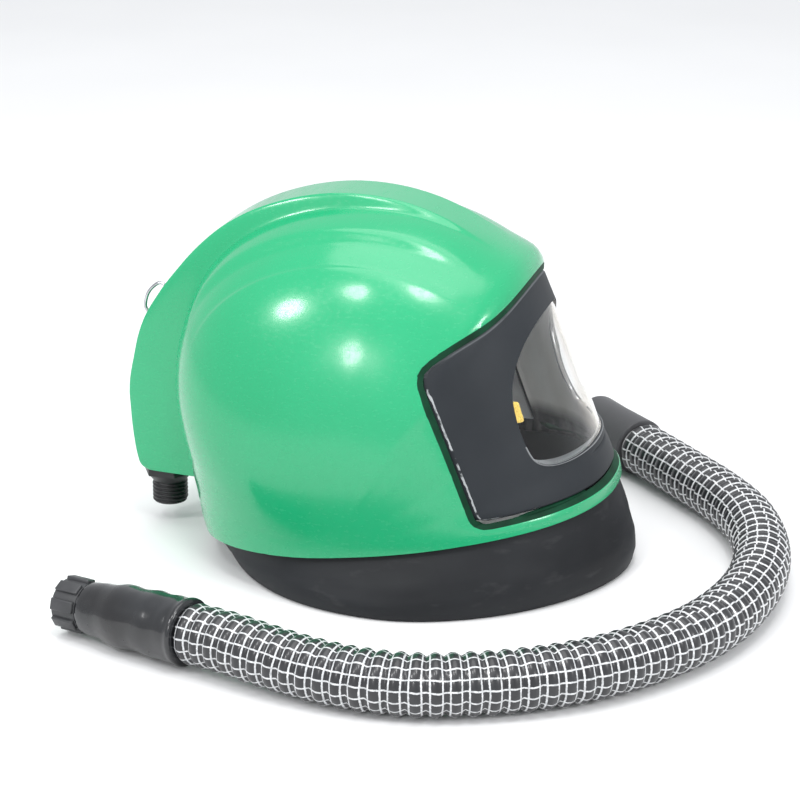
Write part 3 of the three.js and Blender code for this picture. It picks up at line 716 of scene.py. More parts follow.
near_rows = [0, 0.3, 0.6, 0.9, 1.2, 1.6, 2.2, 3.2, 4.4, 5, 5.5, 6, 6.5, 7, 7.8, 9, 11]
far_shares = [0.12, 0.24, 0.36, 0.48, 0.6, 0.72, 0.82, 0.9]
edge_rows = [4, 2.8, 2.1, 1.6, 1.1, 0.7, 0.3, 0]
frame_rows = len(near_rows) + len(far_shares) + len(edge_rows)


def frame_distance(j, room):
    """Distance of row j from the window's edge; the rows close up where there is less room."""
    scale = min(1, room / (near_rows[-1] + edge_rows[0] + 2))
    near, edge = near_rows[-1] * scale, edge_rows[0] * scale
    if j < len(near_rows):
        return near_rows[j] * scale
    j -= len(near_rows)
    if j < len(far_shares):
        return near + (room - near - edge) * far_shares[j]
    return room - edge_rows[j - len(far_shares)] * scale


def frame_relief(angle, distance, to_edge):
    """A fine bead under the window, a groove at its front, and a rounded outer edge."""
    low = smooth_step(-math.sin(angle), 0.05, 0.4)
    front = low * (1 - smooth_step(abs(math.cos(angle)), 0.35, 0.65))
    bead = 0.6 * low * math.exp(-((distance - 0.9) / 0.45) ** 2)
    groove = -1.0 * front * math.exp(-((distance - 6) / 0.7) ** 2)
    inner = -0.8 * (1 - smooth_step(distance, 0, 0.7))
    outer = -1.5 * (1 - smooth_step(to_edge, 0, 1.6))
    return bead + groove + inner + outer


def frame_place(i, j):
    """A grid point on the frame's plain layer, with its two distances to the edges."""
    angle, window, edge = frame_rays[i % FRAME_COLUMNS]
    distance = frame_distance(j, edge - window)
    across = (window + distance) * math.cos(angle)
    height = WINDOW_MIDDLE + (window + distance) * math.sin(angle)
    flat = front_of(across, height, FRAME_INSET)
    return angle, flat, distance, max(0, -FRAME_GAP - beyond_opening(flat[1], flat[2]))


def frame_point(i, j):
    angle, flat, distance, to_edge = frame_place(i, j)
    return front_of(flat[0], flat[2], FRAME_INSET - frame_relief(angle, distance, to_edge))


def frame_edges(i, j):
    """Distance from the window's edge and from the frame's outer edge, in tenths of a metre."""
    _, _, distance, to_edge = frame_place(i, j)
    return distance / 100, to_edge / 100


rubber = grid_piece(FRAME_COLUMNS + 1, frame_rows, frame_point)
grid_uv(rubber, FRAME_COLUMNS + 1, frame_rows, frame_edges)
clean(rubber)
apply_modifier(rubber, "SOLIDIFY", thickness=FRAME_WALL * MM, offset=-1)
smooth(rubber, 45)
settle(rubber, "visor_rubber", "visor_frame")

# %% [markdown]
# ## Pane
# The pane is a clear plastic sheet 2 mm thick that fills the window. It is curved across and
# nearly straight from top to bottom, so it lies deeper at the top, where the rubber bulges.
# A disc of rings has no corner in its middle rows, so the reflections stay smooth. It
# casts no shadow, because a clear sheet this thin lets the lamps light what is behind it.

# %% Pane
PANE_INSET_TOP = 5.2
PANE_INSET_BOTTOM = 3.6
PANE_WALL = 2
PANE_RINGS = 26
PANE_COLUMNS = 120


def pane_point(i, j):
    angle = 2 * math.pi * i / PANE_COLUMNS
    share = j / (PANE_RINGS - 1)
    reach = share * (pane_edges[i % PANE_COLUMNS] - GAP)
    across, up = reach * math.cos(angle), reach * math.sin(angle)
    rise = (up + WINDOW_DOWN) / (WINDOW_UP + WINDOW_DOWN)
    inset = PANE_INSET_BOTTOM + (PANE_INSET_TOP - PANE_INSET_BOTTOM) * max(0, rise)
    return front_of(across, WINDOW_MIDDLE + up, inset)


pane_edges = [
    ray_until(2 * math.pi * i / PANE_COLUMNS, outside_window, 120) for i in range(PANE_COLUMNS)
]
pane = grid_piece(PANE_COLUMNS + 1, PANE_RINGS, pane_point)
clean(pane)
apply_modifier(pane, "SOLIDIFY", thickness=PANE_WALL * MM, offset=-1)
smooth(pane, 45)
settle(pane, "clear_pane", "visor_lens")
pane.visible_shadow = False

# %% [markdown]
# ## Lining
# Behind the shell hangs a grey cloth that is seen through the pane. It is one thin sheet of
# the same form, a little inside the shell, with slow folds moved into it.

# %% Lining
LINING_INSET = 4
LINING_WALL = 1.2

cloth_lines = shell_lines[::2]
cloth_turns = [-20 + 3 * k for k in range(67)] + [181 + 6 * k for k in range(1, 26)]


def cloth_point(i, j):
    turn = cloth_turns[j % len(cloth_turns)]
    signed = turn if turn <= 180 else turn - 360
    across = max(-HALF_WIDTH + LINING_INSET, min(HALF_WIDTH - LINING_INSET, cloth_lines[i]))
    reach = plain_reach(across, signed, LINING_INSET)
    fold = noise.noise(Vector((across / 24, turn / 9, 3.1))) + 1
    return on_turn(across, signed, max(0, reach - 1.4 * fold * min(1, reach / 40)))


lining = grid_piece(len(cloth_lines), len(cloth_turns) + 1, cloth_point)
clean(lining)
score(lining, lambda x, y, z: rim_height(y) + 17 - z)
score(lining, lambda x, y, z: 8 - beyond_opening(y, z) if y < 0 else -1)
clean(lining, 0.0004)
apply_modifier(lining, "SOLIDIFY", thickness=LINING_WALL * MM, offset=-1)
smooth(lining, 60)
settle(lining, "grey_lining", "inner_lining")

# %% [markdown]
# ## Foam pad
# One small yellow pad shows at the window's near end. It is a block that is subdivided,
# laid against the pane's curve and rounded by a subdivision surface.

# %% Foam pad
PAD_SIZE = (13, 6, 15)
PAD_MIDDLE = (-69, 133)
PAD_INSET = 8.3

bpy.ops.object.select_all(action="DESELECT")
bpy.ops.mesh.primitive_cube_add(size=1)
pad = bpy.context.object
bpy.ops.object.mode_set(mode="EDIT")
bpy.ops.mesh.select_all(action="SELECT")
bpy.ops.mesh.bevel(offset=0.12, segments=2, affect="EDGES")
bpy.ops.mesh.subdivide(number_cuts=3)
bpy.ops.object.mode_set(mode="OBJECT")
for vertex in pad.data.vertices:
    across = PAD_MIDDLE[0] + vertex.co.x * (PAD_SIZE[0] - 0.6)
    height = PAD_MIDDLE[1] + vertex.co.z * (PAD_SIZE[2] - 0.6)
    depth = (0.5 + vertex.co.y) * (PAD_SIZE[1] - 0.4)
    vertex.co = Vector(front_of(across, height, PAD_INSET + 0.3 + depth)) * MM
clean(pad)
apply_modifier(pad, "SUBSURF", levels=2, render_levels=2)
uneven(pad, 0.25, 3, 5)
smooth(pad, 60)
settle(pad, "foam_pad", "yellow_pad")

# %% [markdown]
# ## Neck skirt
# A moulded rubber skirt hangs from inside the rim and spreads on the floor to a rolled hem.
# Its grid goes round the neck in columns, and its rows follow the section: down the
# outside, round the hem and up the inside. Soft dents are moved in where it buckles.

# %% Neck skirt
SKIRT_HALF_WIDTH = 138
SKIRT_FRONT = 144
SKIRT_BACK = 140
SKIRT_MIDDLE = -40
SKIRT_SWELL = 5
SKIRT_POWER_FRONT = 1.72
SKIRT_POWER_BACK = 2.15
SKIRT_WALL = 2.2
SKIRT_HEM = 4
SKIRT_TUCK = 6
SKIRT_COLUMNS = 200
SKIRT_INSET = 3.8

skirt_lean = curve_through([(0, 0), (0.1, 0.02), (0.27, 0.1), (0.5, 0.34), (0.75, 0.68), (0.97, 1)])
skirt_swell = curve_through([(0, 0), (0.1, 0.6), (0.27, 1), (0.5, 0.85), (0.75, 0.4), (0.97, 0)])
skirt_hem = curve_through([(0, 1), (0.1, 1), (0.27, 0.3), (0.5, 0), (1, 0)])


def rim_reach(angle, height, inset):
    """Distance from the skirt's middle to a layer of the dome, at one height."""
    near, far = 0, REACH
    for _ in range(22):
        middle = (near + far) / 2
        across = middle * math.cos(angle)
        back = SKIRT_MIDDLE + middle * math.sin(angle)
        turn = math.degrees(math.atan2(height - PIVOT, back))
        inside = (abs(across) < HALF_WIDTH - inset
                  and math.hypot(height - PIVOT, back) < plain_reach(across, turn, inset))
        near, far = (middle, far) if inside else (near, middle)
    return near


skirt_columns = []
for i in range(SKIRT_COLUMNS):
    angle = 2 * math.pi * i / SKIRT_COLUMNS
    top = RIM_HEIGHT
    for _ in range(5):
        top = rim_height(SKIRT_MIDDLE + rim_reach(angle, top, 0) * math.sin(angle))
    front = math.sin(angle) < 0
    power = SKIRT_POWER_FRONT if front else SKIRT_POWER_BACK
    length = SKIRT_FRONT if front else SKIRT_BACK
    total = abs(math.cos(angle) / SKIRT_HALF_WIDTH) ** power + abs(math.sin(angle) / length) ** power
    skirt_columns.append((angle, top, total ** (-1 / power)))

outside_rises = [0.02, 0.05, 0.09, 0.14, 0.2, 0.27, 0.35, 0.43, 0.52, 0.61, 0.7, 0.79, 0.88, 0.97]
skirt_rows = [(rise, 0) for rise in outside_rises] + [("tuck", 0), ("tuck", 1)]
skirt_rows += [(rise, 1) for rise in reversed(outside_rises[::2])]
skirt_rows += [(0.005, 1), (0, 0.75), (0, 0.5), (0, 0.25), (0.005, 0)]


def skirt_point(i, j):
    angle, top, floor = skirt_columns[i % SKIRT_COLUMNS]
    rise, depth = skirt_rows[j % len(skirt_rows)]
    if rise == "tuck":
        height = top + SKIRT_TUCK
        radius = rim_reach(angle, height, SKIRT_INSET) - depth * SKIRT_WALL
    else:
        height = rise * top
        rim = rim_reach(angle, height, SKIRT_INSET)
        radius = floor + (rim - floor) * skirt_lean(rise) + SKIRT_SWELL * skirt_swell(rise)
        wall = SKIRT_WALL + skirt_hem(rise) * (SKIRT_HEM - SKIRT_WALL)
        if rise < 0.01:
            radius -= 0.9 * (0.5 - depth) * 2 * (1 if rise else 0)
        radius -= depth * wall
        way = Vector((math.cos(angle), math.sin(angle), height / 22))
        dent = noise.noise(way * 2.3) + 0.4 * noise.noise(way * 6.1)
        radius += 1.5 * dent * math.sin(math.pi * min(1, rise / 0.97))
    return radius * math.cos(angle), SKIRT_MIDDLE + radius * math.sin(angle), height


skirt = grid_piece(SKIRT_COLUMNS + 1, len(skirt_rows) + 1, skirt_point)
clean(skirt)
smooth(skirt, 70)
settle(skirt, "rubber_skirt", "neck_skirt")

# %% [markdown]
# ## Air inlet
# Under the duct's flat bottom sits a hexagon with a short taper and a pipe thread, bored
# through. The hexagon is a six-sided cylinder with bevelled corners, drilled by a Boolean.
# The thread is a grid wrapped round the bore, with its radius rising along a helix.

# %% Air inlet
INLET_Y = 165
HEX_WIDTH = 35
HEX_TOP = -0.3
HEX_HEIGHT = 6
TAPER_HEIGHT = 6
THREAD_LENGTH = 17
THREAD_RADIUS = 13.2
THREAD_DEPTH = 1.1
THREAD_PITCH = 3.0
INLET_BORE = 9.5
THREAD_SIDES = 64
THREAD_ROWS = 85

thread_top = HEX_TOP - HEX_HEIGHT - TAPER_HEIGHT
thread_end = thread_top - THREAD_LENGTH


def thread_point(i, j):
    """Down the outside along the helix; the first and last rows close it on the bore."""
    angle = 2 * math.pi * i / THREAD_SIDES
    if j in (0, THREAD_ROWS - 1):
        height = thread_top + 0.4 if j == 0 else thread_end
        return INLET_BORE * math.cos(angle), INLET_BORE * math.sin(angle), height
    share = (j - 1) / (THREAD_ROWS - 3)
    height = thread_top + 0.4 + (thread_end - thread_top - 0.4) * share
    wave = (height / THREAD_PITCH + i / THREAD_SIDES) % 1
    crest = smooth_step(abs(wave - 0.5), 0.08, 0.4)
    ends = smooth_step(height, thread_end, thread_end + 1.5)
    ends *= smooth_step(-height, -thread_top, 2 - thread_top)
    radius = THREAD_RADIUS - THREAD_DEPTH * (1 - crest * ends)
    return radius * math.cos(angle), radius * math.sin(angle), height


thread = grid_piece(THREAD_SIDES + 1, THREAD_ROWS, thread_point)
bore_wall = spun([
    (INLET_BORE - 0.02, thread_end), (INLET_BORE + 1.2, thread_end + 0.6),
    (INLET_BORE + 1.2, thread_top), (THREAD_RADIUS - 0.2, thread_top + 0.1),
    (HEX_WIDTH / 2 - 0.3, HEX_TOP - HEX_HEIGHT - 0.1), (HEX_WIDTH / 2 - 1, HEX_TOP - HEX_HEIGHT + 1),
    (THREAD_RADIUS, HEX_TOP - 1), (THREAD_RADIUS, 13), (INLET_BORE, 13),
], 64)
bpy.ops.object.select_all(action="DESELECT")
bpy.ops.mesh.primitive_cylinder_add(vertices=6, radius=HEX_WIDTH / 2 / math.cos(math.pi / 6) * MM,
                                    depth=HEX_HEIGHT * MM, location=(0, 0, 0))
hexagon = bpy.context.object
hexagon.data.transform(Matrix.Translation((0, 0, (HEX_TOP - HEX_HEIGHT / 2) * MM)))
bpy.ops.object.mode_set(mode="EDIT")
bpy.ops.mesh.select_all(action="SELECT")
bpy.ops.mesh.bevel(offset=0.7 * MM, segments=3, affect="EDGES")
bpy.ops.object.mode_set(mode="OBJECT")
bpy.ops.mesh.primitive_cylinder_add(vertices=64, radius=(INLET_BORE + 1) * MM, depth=0.1)
drill = bpy.context.object
apply_modifier(hexagon, "BOOLEAN", object=drill, operation="DIFFERENCE")
bpy.data.objects.remove(drill)
select_only(thread)
bore_wall.select_set(True)
hexagon.select_set(True)
bpy.ops.object.join()
inlet = thread
clean(inlet)
moved(inlet, Matrix.Translation((0, INLET_Y * MM, PIVOT * MM)))
smooth(inlet, 40)
settle(inlet, "threaded_inlet", "inlet_fitting")

# %% [markdown]
# ## Wire staple
# A bright bent wire stands on the back of the duct, for a cord or a hook. It is a curve
# with a round bevel, turned into a mesh, and its feet go into the plastic's surface.

# %% Wire staple
STAPLE_TURN = 36.7
STAPLE_LENGTH = 24
STAPLE_STANDOFF = 9
WIRE = 2.6


def wire_piece(points, radius):
    """A round wire through the points, in millimetres."""
    curve = bpy.data.curves.new("wire", "CURVE")
    curve.dimensions = "3D"
    curve.bevel_depth = radius * MM
    curve.bevel_resolution = 4
    curve.use_fill_caps = True
    spline = curve.splines.new("BEZIER")
    spline.bezier_points.add(len(points) - 1)
    for knot, point in zip(spline.bezier_points, points):
        knot.co = Vector(point) * MM
        knot.handle_left_type = knot.handle_right_type = "AUTO"
    piece = bpy.data.objects.new("wire", curve)
    bpy.context.collection.objects.link(piece)
    select_only(piece)
    bpy.ops.object.convert(target="MESH")
    return bpy.context.object


def staple_place(share, off):
    middle = ducted_reach(0, STAPLE_TURN)
    turn = STAPLE_TURN + share * math.degrees(STAPLE_LENGTH / 2 / middle)
    return on_turn(0, turn, ducted_reach(0, turn) + off)


staple = wire_piece([
    staple_place(-1, -0.3), staple_place(-1, STAPLE_STANDOFF * 0.5),
    staple_place(-0.72, STAPLE_STANDOFF - WIRE / 2), staple_place(0.72, STAPLE_STANDOFF - WIRE / 2),
    staple_place(1, STAPLE_STANDOFF * 0.5), staple_place(1, -0.3),
], WIRE / 2)
clean(staple)
smooth(staple, 50)
settle(staple, "wire_staple", "rear_staple")

# %% [markdown]
# ## Materials
# Each finish is a Principled shader with detail from noise: broad changes of colour, fine
# grain in the bump, and changes of roughness where the surface is rubbed or dusty. Numbers
# that are the same all over go straight on the shader's sockets.

# %% Material helpers
class Finish:
    """A material with short calls for the nodes that these finishes use."""

    def __init__(self, name, **sockets):
        self.material = bpy.data.materials.new(name)
        self.material.use_nodes = True
        self.tree = self.material.node_tree
        self.shader = self.tree.nodes["Principled BSDF"]
        for key, value in sockets.items():
            self.shader.inputs[key.replace("_", " ")].default_value = value
        self.place = self.tree.nodes.new("ShaderNodeTexCoord")

    def node(self, kind, settings=None, **inputs):
        node = self.tree.nodes.new("ShaderNode" + kind)
        for key, value in (settings or {}).items():
            setattr(node, key, value)
        for key, value in inputs.items():
            socket = node.inputs[int(key[1:])] if key[0] == "_" else node.inputs[key]
            if isinstance(value, bpy.types.NodeSocket):
                self.tree.links.new(value, socket)
            else:
                socket.default_value = value
        return node

    def noise(self, scale, detail=3, where=None, roughness=0.5):
        where = where or self.place.outputs["Object"]
        return self.node("TexNoise", Vector=where, Scale=scale, Detail=detail,
                         Roughness=roughness).outputs["Fac"]

    def stretched(self, x, y, z):
        return self.node("Mapping", Vector=self.place.outputs["Object"], Scale=(x, y, z)).outputs[0]

    def ramp(self, factor, *stops):
        """stops are (position, colour); a colour may be one number for grey."""
        node = self.node("ValToRGB", Fac=factor)
        ramp = node.color_ramp
        while len(ramp.elements) < len(stops):
            ramp.elements.new(0.5)
        for element, (position, colour) in zip(ramp.elements, stops):
            element.position = position
            element.color = (*colour, 1) if isinstance(colour, tuple) else (colour, colour, colour, 1)
        return node.outputs["Color"]

    def math(self, operation, *values):
        inputs = {f"_{k}": value for k, value in enumerate(values)}
        return self.node("Math", {"operation": operation}, **inputs).outputs[0]

    def mix(self, factor, first, second):
        first, second = [(*c, 1) if isinstance(c, tuple) else c for c in (first, second)]
        node = self.node("Mix", {"data_type": "RGBA"}, _0=factor, _6=first, _7=second)
        return node.outputs[2]

    def band(self, value, start, full, fade, end):
        """1 where the value lies between full and fade, 0 outside start and end."""
        rise = self.ramp(value, (start, 0), (full, 1))
        return self.math("MULTIPLY", rise, self.ramp(value, (fade, 1), (end, 0)))

    def set(self, socket, value):
        self.tree.links.new(value, self.shader.inputs[socket])

    def bump(self, height, distance, strength=1, below=None):
        node = self.node("Bump", Height=height, Distance=distance * MM, Strength=strength)
        if below:
            self.tree.links.new(below, node.inputs["Normal"])
        self.set("Normal", node.outputs[0])
        return node.outputs[0]


def paint(piece, finish):
    piece.data.materials.clear()
    piece.data.materials.append(finish.material)


# %% [markdown]
# ### Green moulded plastic
# The shell is pigmented plastic, semi-glossy, with the slight waviness of a moulding, fine
# scuffs and a few dust specks. The waves matter most: they make the edge of each
# highlight soft and a little uneven.

# %% Green plastic
green = Finish("green_moulding", Roughness=0.3, IOR=1.5, Coat_Weight=0.4, Coat_Roughness=0.11)
tone = green.ramp(green.noise(7, 4), (0.3, (0.009, 0.33, 0.135)), (0.7, (0.013, 0.37, 0.158)))
specks = green.ramp(green.noise(420, 2), (0.74, 0), (0.79, 1))
green.set("Base Color", green.mix(green.math("MULTIPLY", specks, 0.1), tone, (0.35, 0.62, 0.45)))
scuffs = green.ramp(green.noise(60, 5, green.stretched(1, 4, 9)), (0.45, 0.2), (0.75, 0.33))
green.set("Roughness", scuffs)
waves = green.bump(green.noise(22, 2), 0.15, 0.4)
green.bump(green.noise(900, 2), 0.02, 0.35, waves)
paint(shell, green)

# %% [markdown]
# The step of the lip is painted darker, as painted shade in the recess. The inside of the
# shell, seen low in the window, is painted shade: dark grey with painted reflection streaks.

# %% Lip and inside of the shell
recess = Finish("green_recess", Roughness=0.6, IOR=1.25)
# painted shade: the lip's step is coloured near-black green, varied by noise
painted_recess_shade = recess.noise(55, 4)
recess.set("Base Color", recess.ramp(painted_recess_shade, (0.3, (0.002, 0.022, 0.01)), (0.75, (0.003, 0.05, 0.022))))
recess.bump(recess.noise(300, 3), 0.02, 0.3)
# painted shade: the shell's inner faces are dark grey, with upright streaks as painted reflection
inside = Finish("shell_inside", Roughness=0.7, IOR=1.3)
streaks = inside.noise(60, 3, inside.stretched(3, 3, 0.15))
inside.set("Base Color", inside.ramp(streaks, (0.4, (0.025, 0.027, 0.028)), (0.65, (0.1, 0.105, 0.108))))
inside.bump(inside.noise(200, 3), 0.02, 0.3)
for finish in (recess, inside):
    shell.data.materials.append(finish.material)
head_middle = Vector((0, 0, 0.12))
for face in shell.data.polygons:
    x, y, z = face.center / MM
    inner_side = face.normal.dot(face.center - head_middle) < 0
    # lip faces get the painted recess shade, inner faces the painted dark grey shade
    if y < 0 and beyond_opening(y, z) < LIP_WIDTH - 0.1:
        face.material_index = 1
    elif inner_side:
        face.material_index = 2

# %% [markdown]
# ### Rubbers
# The visor frame and the skirt are matte moulded rubber: dark blue-grey, with fine grain
# and paler dust. A ragged pale line of glue runs beside the frame's edge on the cheek, a
# painted highlight runs along the brow edge, and a thin painted highlight follows the bead.
# All three are drawn from the frame's UV map, which holds the distances to the window's edge
# and to the outer edge.

# %% Visor rubber
def rubber_finish(name, dark, pale, roughness):
    finish = Finish(name, Roughness=roughness, IOR=1.35)
    dust = finish.ramp(finish.noise(9, 6), (0.35, 0), (0.8, 1))
    base = finish.mix(dust, dark, pale)
    grain = finish.bump(finish.noise(700, 3), 0.08, 0.5)
    finish.bump(finish.noise(30, 3), 0.3, 0.3, grain)
    return finish, base


frame_rubber, base = rubber_finish("visor_frame_rubber", (0.013, 0.016, 0.02), (0.025, 0.029, 0.034), 0.55)
uv = frame_rubber.node("SeparateXYZ", _0=frame_rubber.place.outputs["UV"])
ragged = frame_rubber.noise(170, 4)
line = frame_rubber.math("ADD", uv.outputs[1], frame_rubber.math("MULTIPLY", ragged, 0.008))
line = frame_rubber.math("ABSOLUTE", frame_rubber.math("SUBTRACT", line, 0.018))
line = frame_rubber.math("LESS_THAN", line, 0.0028)
spot = frame_rubber.node("SeparateXYZ", _0=frame_rubber.place.outputs["Object"])
cheek = frame_rubber.math("GREATER_THAN", frame_rubber.math("ABSOLUTE", spot.outputs[0]), 0.096)
cheek = frame_rubber.math("MULTIPLY", cheek, frame_rubber.math("LESS_THAN", spot.outputs[2], 0.158))
cheek_line = frame_rubber.math("MULTIPLY", line, cheek)
breaks = frame_rubber.ramp(frame_rubber.noise(90, 4), (0.42, 0), (0.5, 1))
cheek_line = frame_rubber.math("MULTIPLY", cheek_line, breaks)
tone = frame_rubber.mix(cheek_line, base, (0.42, 0.44, 0.45))
# painted highlight: a pale band along the frame's outer edge at the brow
brow = frame_rubber.math("GREATER_THAN", spot.outputs[2], 0.165)
painted_brow_highlight = frame_rubber.math("MULTIPLY", frame_rubber.band(uv.outputs[1], 0.003, 0.006, 0.012, 0.016), brow)
tone = frame_rubber.mix(frame_rubber.math("MULTIPLY", painted_brow_highlight, 0.8), tone, (0.14, 0.15, 0.16))
# painted highlight: a thin pale line along the bead under the window
under = frame_rubber.math("LESS_THAN", spot.outputs[2], 0.112)
painted_bead_highlight = frame_rubber.band(uv.outputs[0], 0.005, 0.008, 0.011, 0.014)
painted_bead_highlight = frame_rubber.math("MULTIPLY", painted_bead_highlight, under)
frame_rubber.set("Base Color", frame_rubber.mix(painted_bead_highlight, tone, (0.26, 0.27, 0.28)))
paint(rubber, frame_rubber)

# %% [markdown]
# The back of the frame shows through the pane: painted reflection of a lamp above, painted shade, dark and
# streaked, below.

# %% Cloth on the back of the frame, painted with light and shade
backing = Finish("frame_backing", Roughness=0.9, IOR=1.15)
level = backing.node("SeparateXYZ", _0=backing.place.outputs["Object"]).outputs[2]
level = backing.math("ADD", level, backing.math("MULTIPLY", backing.noise(14, 3), 0.012))
threads = backing.node("TexWave", {"bands_direction": "Z"}, Vector=backing.place.outputs["Object"],
                       Scale=420, Distortion=1.0).outputs["Fac"]
# painted reflection: pale streaked colour above a set height, where a lamp shows in the pane
pale = backing.ramp(backing.noise(16, 4, backing.stretched(3, 3, 0.6)), (0.35, (0.72, 0.7, 0.66)),
                    (0.7, (0.88, 0.87, 0.85)))
painted_light_above = backing.ramp(level, (0.084, 0), (0.094, 1))
# painted shade: dark streaked colour below that height
dark = backing.ramp(backing.noise(60, 3, backing.stretched(3, 3, 0.15)), (0.4, (0.035, 0.035, 0.038)),
                    (0.65, (0.1, 0.1, 0.105)))
backing.set("Base Color", backing.mix(painted_light_above, dark, pale))
backing.bump(threads, 0.04, 0.4)
rubber.data.materials.append(backing.material)
middle = Vector((0, 0, PIVOT * MM))
for face in rubber.data.polygons:
    if face.normal.dot((face.center - middle).normalized()) < -0.5:
        face.material_index = 1
print("frame faces with cloth:", sum(face.material_index for face in rubber.data.polygons))

# %% Skirt, cuff and pad
skirt_rubber, base = rubber_finish("skirt_rubber", (0.009, 0.01, 0.012), (0.02, 0.022, 0.026), 0.6)
marks = skirt_rubber.ramp(skirt_rubber.noise(38, 6, skirt_rubber.stretched(1, 1, 3)), (0.6, 0), (0.78, 1))
marks = skirt_rubber.math("MULTIPLY", marks, 0.35)
skirt_rubber.set("Base Color", skirt_rubber.mix(marks, base, (0.06, 0.06, 0.063)))
paint(skirt, skirt_rubber)

cuff_rubber, base = rubber_finish("cuff_rubber", (0.045, 0.045, 0.048), (0.1, 0.1, 0.105), 0.4)
cuff_rubber.set("Base Color", base)
paint(cuff, cuff_rubber)

foam = Finish("yellow_foam", Roughness=0.95, Sheen_Weight=0.3)
cells = foam.node("TexVoronoi", Vector=foam.place.outputs["Object"], Scale=900).outputs["Distance"]
foam.set("Base Color", foam.ramp(cells, (0, (0.32, 0.2, 0.03)), (0.6, (0.75, 0.52, 0.1))))
foam.bump(cells, 0.5, 0.8)
paint(pad, foam)

# %% [markdown]
# ### Cloth
# The lining is plain woven cloth. Two crossed waves are enough for a weave this fine.

# %% Lining cloth
cloth = Finish("lining_cloth", Roughness=0.9, Sheen_Weight=0.3)
weave_a = cloth.node("TexWave", {"bands_direction": "Y"}, Vector=cloth.place.outputs["Object"],
                     Scale=380, Distortion=0.6).outputs["Fac"]
weave_b = cloth.node("TexWave", {"bands_direction": "Z"}, Vector=cloth.place.outputs["Object"],
                     Scale=380, Distortion=0.6).outputs["Fac"]
weave = cloth.math("MULTIPLY", weave_a, weave_b)
soil = cloth.ramp(cloth.noise(12, 5), (0.3, (0.6, 0.61, 0.62)), (0.7, (0.75, 0.76, 0.77)))
cloth.set("Base Color", cloth.mix(cloth.math("MULTIPLY", weave, 0.4), soil, (0.8, 0.81, 0.82)))
cloth.bump(weave, 0.25, 0.6)
paint(lining, cloth)

# %% [markdown]
# ### Clear pane
# The pane transmits light and has a light haze of dust, so that it shows as a surface. Upright tinted
# bands in its colour are painted reflections.

# %% Clear plastic
clear = Finish("clear_plastic", Roughness=0.03, IOR=1.3, Transmission_Weight=1.0)
# painted reflection: upright bands of pale tint in the pane's colour
bands = clear.noise(11, 2, clear.stretched(1, 1, 0.12))
clear.set("Base Color", clear.ramp(bands, (0.38, (0.93, 0.96, 0.95)), (0.5, (0.98, 0.98, 0.98)),
                                   (0.6, (0.98, 0.94, 0.88))))
haze = clear.ramp(clear.noise(50, 6, clear.stretched(6, 6, 0.7)), (0.5, 0.01), (0.85, 0.03))
clear.set("Roughness", haze)
paint(pane, clear)

# %% [markdown]
# ### Hose
# Over black ribs lies a net of pale threads: sixteen along the hose, and two round it on
# each rib. The UV map counts both, so a thread is where the fraction of a count is near a
# set value. Noise makes the threads wander and fray, and a clear coat lies over all.

# %% Hose net
skin = Finish("netted_hose", Roughness=0.4, Coat_Weight=0.45, Coat_Roughness=0.1, Coat_IOR=1.45)
uv = skin.node("SeparateXYZ", _0=skin.place.outputs["UV"])
wander = skin.noise(60, 3)
shift = skin.math("MULTIPLY", skin.math("SUBTRACT", wander, 0.5), 0.35)
fray = skin.noise(900, 2)


def thread_near(count, at, half_width):
    """1 on a thread whose middle lies at this fraction of the count."""
    fraction = skin.math("FRACT", skin.math("ADD", count, 1.5 - at))
    distance = skin.math("ABSOLUTE", skin.math("SUBTRACT", fraction, 0.5))
    edge = skin.math("ADD", distance, skin.math("MULTIPLY", skin.math("SUBTRACT", fray, 0.5), 0.05))
    node = skin.node("MapRange", {"interpolation_type": "SMOOTHSTEP"}, _0=edge,
                     _1=half_width, _2=half_width * 0.6, _3=0.0, _4=1.0)
    return node.outputs[0]


across = skin.math("ADD", uv.outputs[0], shift)
along = skin.math("ADD", uv.outputs[1], skin.math("MULTIPLY", shift, 0.35))
threads = thread_near(across, 0.5, 0.09)
for at in (0.2, 0.8):
    threads = skin.math("MAXIMUM", threads, thread_near(along, at, 0.055))
strand = skin.ramp(skin.noise(500, 2), (0.3, (0.42, 0.43, 0.44)), (0.7, (0.75, 0.76, 0.77)))
ground = skin.ramp(skin.noise(120, 3), (0.3, (0.006, 0.006, 0.008)), (0.7, (0.016, 0.017, 0.02)))
skin.set("Base Color", skin.mix(threads, ground, strand))
skin.bump(threads, 0.5, 0.6)
paint(hose, skin)

# %% [markdown]
# ### Black mouldings and wire
# The sleeve is glossy, the fittings are satin plastic, and the staple is bright drawn wire.

# %% Fittings
sleeve_skin = Finish("glossy_sleeve", Roughness=0.2, Coat_Weight=0.35, Coat_Roughness=0.06)
sleeve_skin.set("Base Color", sleeve_skin.ramp(
    sleeve_skin.noise(20, 4), (0.3, (0.005, 0.005, 0.006)), (0.7, (0.016, 0.018, 0.021))))
sleeve_skin.set("Roughness", sleeve_skin.ramp(sleeve_skin.noise(70, 4), (0.35, 0.14), (0.75, 0.34)))
dents = sleeve_skin.bump(sleeve_skin.noise(70, 2), 0.7, 0.5)
sleeve_skin.bump(sleeve_skin.noise(260, 3), 0.12, 0.3, dents)
paint(sleeve, sleeve_skin)


def satin_plastic(name, dark, pale, roughness):
    finish = Finish(name, Roughness=roughness)
    finish.set("Base Color", finish.ramp(finish.noise(45, 5), (0.35, dark), (0.75, pale)))
    rubbed = finish.ramp(finish.noise(150, 3), (0.3, roughness - 0.08), (0.8, roughness + 0.1))
    finish.set("Roughness", rubbed)
    finish.bump(finish.noise(800, 3), 0.05, 0.4)
    return finish


paint(nut, satin_plastic("nut_plastic", (0.028, 0.029, 0.031), (0.05, 0.051, 0.055), 0.45))
black_plastic = satin_plastic("black_plastic", (0.005, 0.005, 0.006), (0.013, 0.013, 0.015), 0.42)
paint(inlet, black_plastic)
connector.data.materials.clear()
connector.data.materials.append(black_plastic.material)

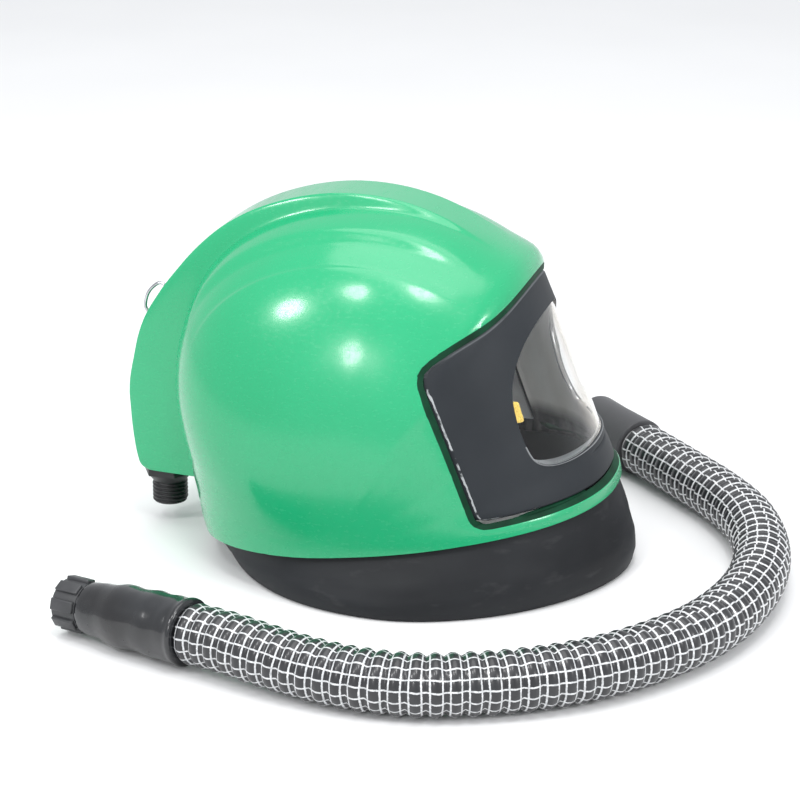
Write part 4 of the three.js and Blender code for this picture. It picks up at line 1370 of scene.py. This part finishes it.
wire = Finish("bright_wire", Metallic=1.0, Roughness=0.2)
wire.set("Base Color", wire.ramp(wire.noise(90, 3), (0.3, (0.3, 0.31, 0.33)), (0.7, (0.62, 0.63, 0.65))))
wire.set("Roughness", wire.ramp(wire.noise(300, 3), (0.3, 0.14), (0.8, 0.3)))
paint(staple, wire)
print("materials:", len(bpy.data.materials))

# %% [markdown]
# ## Floor and light
# The floor is a plain pale sheet that fades into the background. Large soft lamps stand
# where their reflections fall on the shell as they do in the photograph.

# %% Floor
bpy.ops.object.select_all(action="DESELECT")
bpy.ops.mesh.primitive_plane_add(size=30)
floor = bpy.context.object
floor.name = "floor"
paper = Finish("pale_floor", Roughness=0.7)
paper.set("Base Color", paper.ramp(paper.noise(3, 2), (0.3, 0.84), (0.7, 0.86)))
paint(floor, paper)

# %% Lights
def soft_lamp(name, place, target, size, power):
    lamp = bpy.data.lights.new(name, "AREA")
    lamp.shape = "ELLIPSE"
    lamp.size, lamp.size_y = size
    lamp.energy = power
    holder = bpy.data.objects.new(name, lamp)
    bpy.context.collection.objects.link(holder)
    holder.location = place
    way = Vector(target) - Vector(place)
    holder.rotation_euler = way.to_track_quat("-Z", "Y").to_euler()


SHELL_LAMPS = {
    "back_shoulder": ((-1.23, 1.16, 1.40), 0.36, 8),
    "middle_shoulder": ((-1.18, 0.43, 1.83), 0.36, 6),
    "front_shoulder": ((-0.89, -0.40, 2.01), 0.46, 9),
    "side": ((-1.90, 0.38, 0.98), 0.36, 6),
}
for name, (place, size, power) in SHELL_LAMPS.items():
    soft_lamp(name, place, (-0.09, 0, 0.2), (size, size), power)
soft_lamp("top_lamp", (0, 0, 2.6), (0, 0, 0), (2.2, 2.2), 26)
soft_lamp("window_lamp", (-0.62, -1.5, 0.88), (0.03, -0.06, 0.13), (0.45, 0.45), 9)

world = bpy.data.worlds.new("pale_room")
world.use_nodes = True
world.node_tree.nodes["Background"].inputs["Color"].default_value = (0.95, 0.97, 1, 1)
world.node_tree.nodes["Background"].inputs["Strength"].default_value = 0.86
bpy.context.scene.world = world
bpy.context.scene.view_settings.view_transform = "Standard"
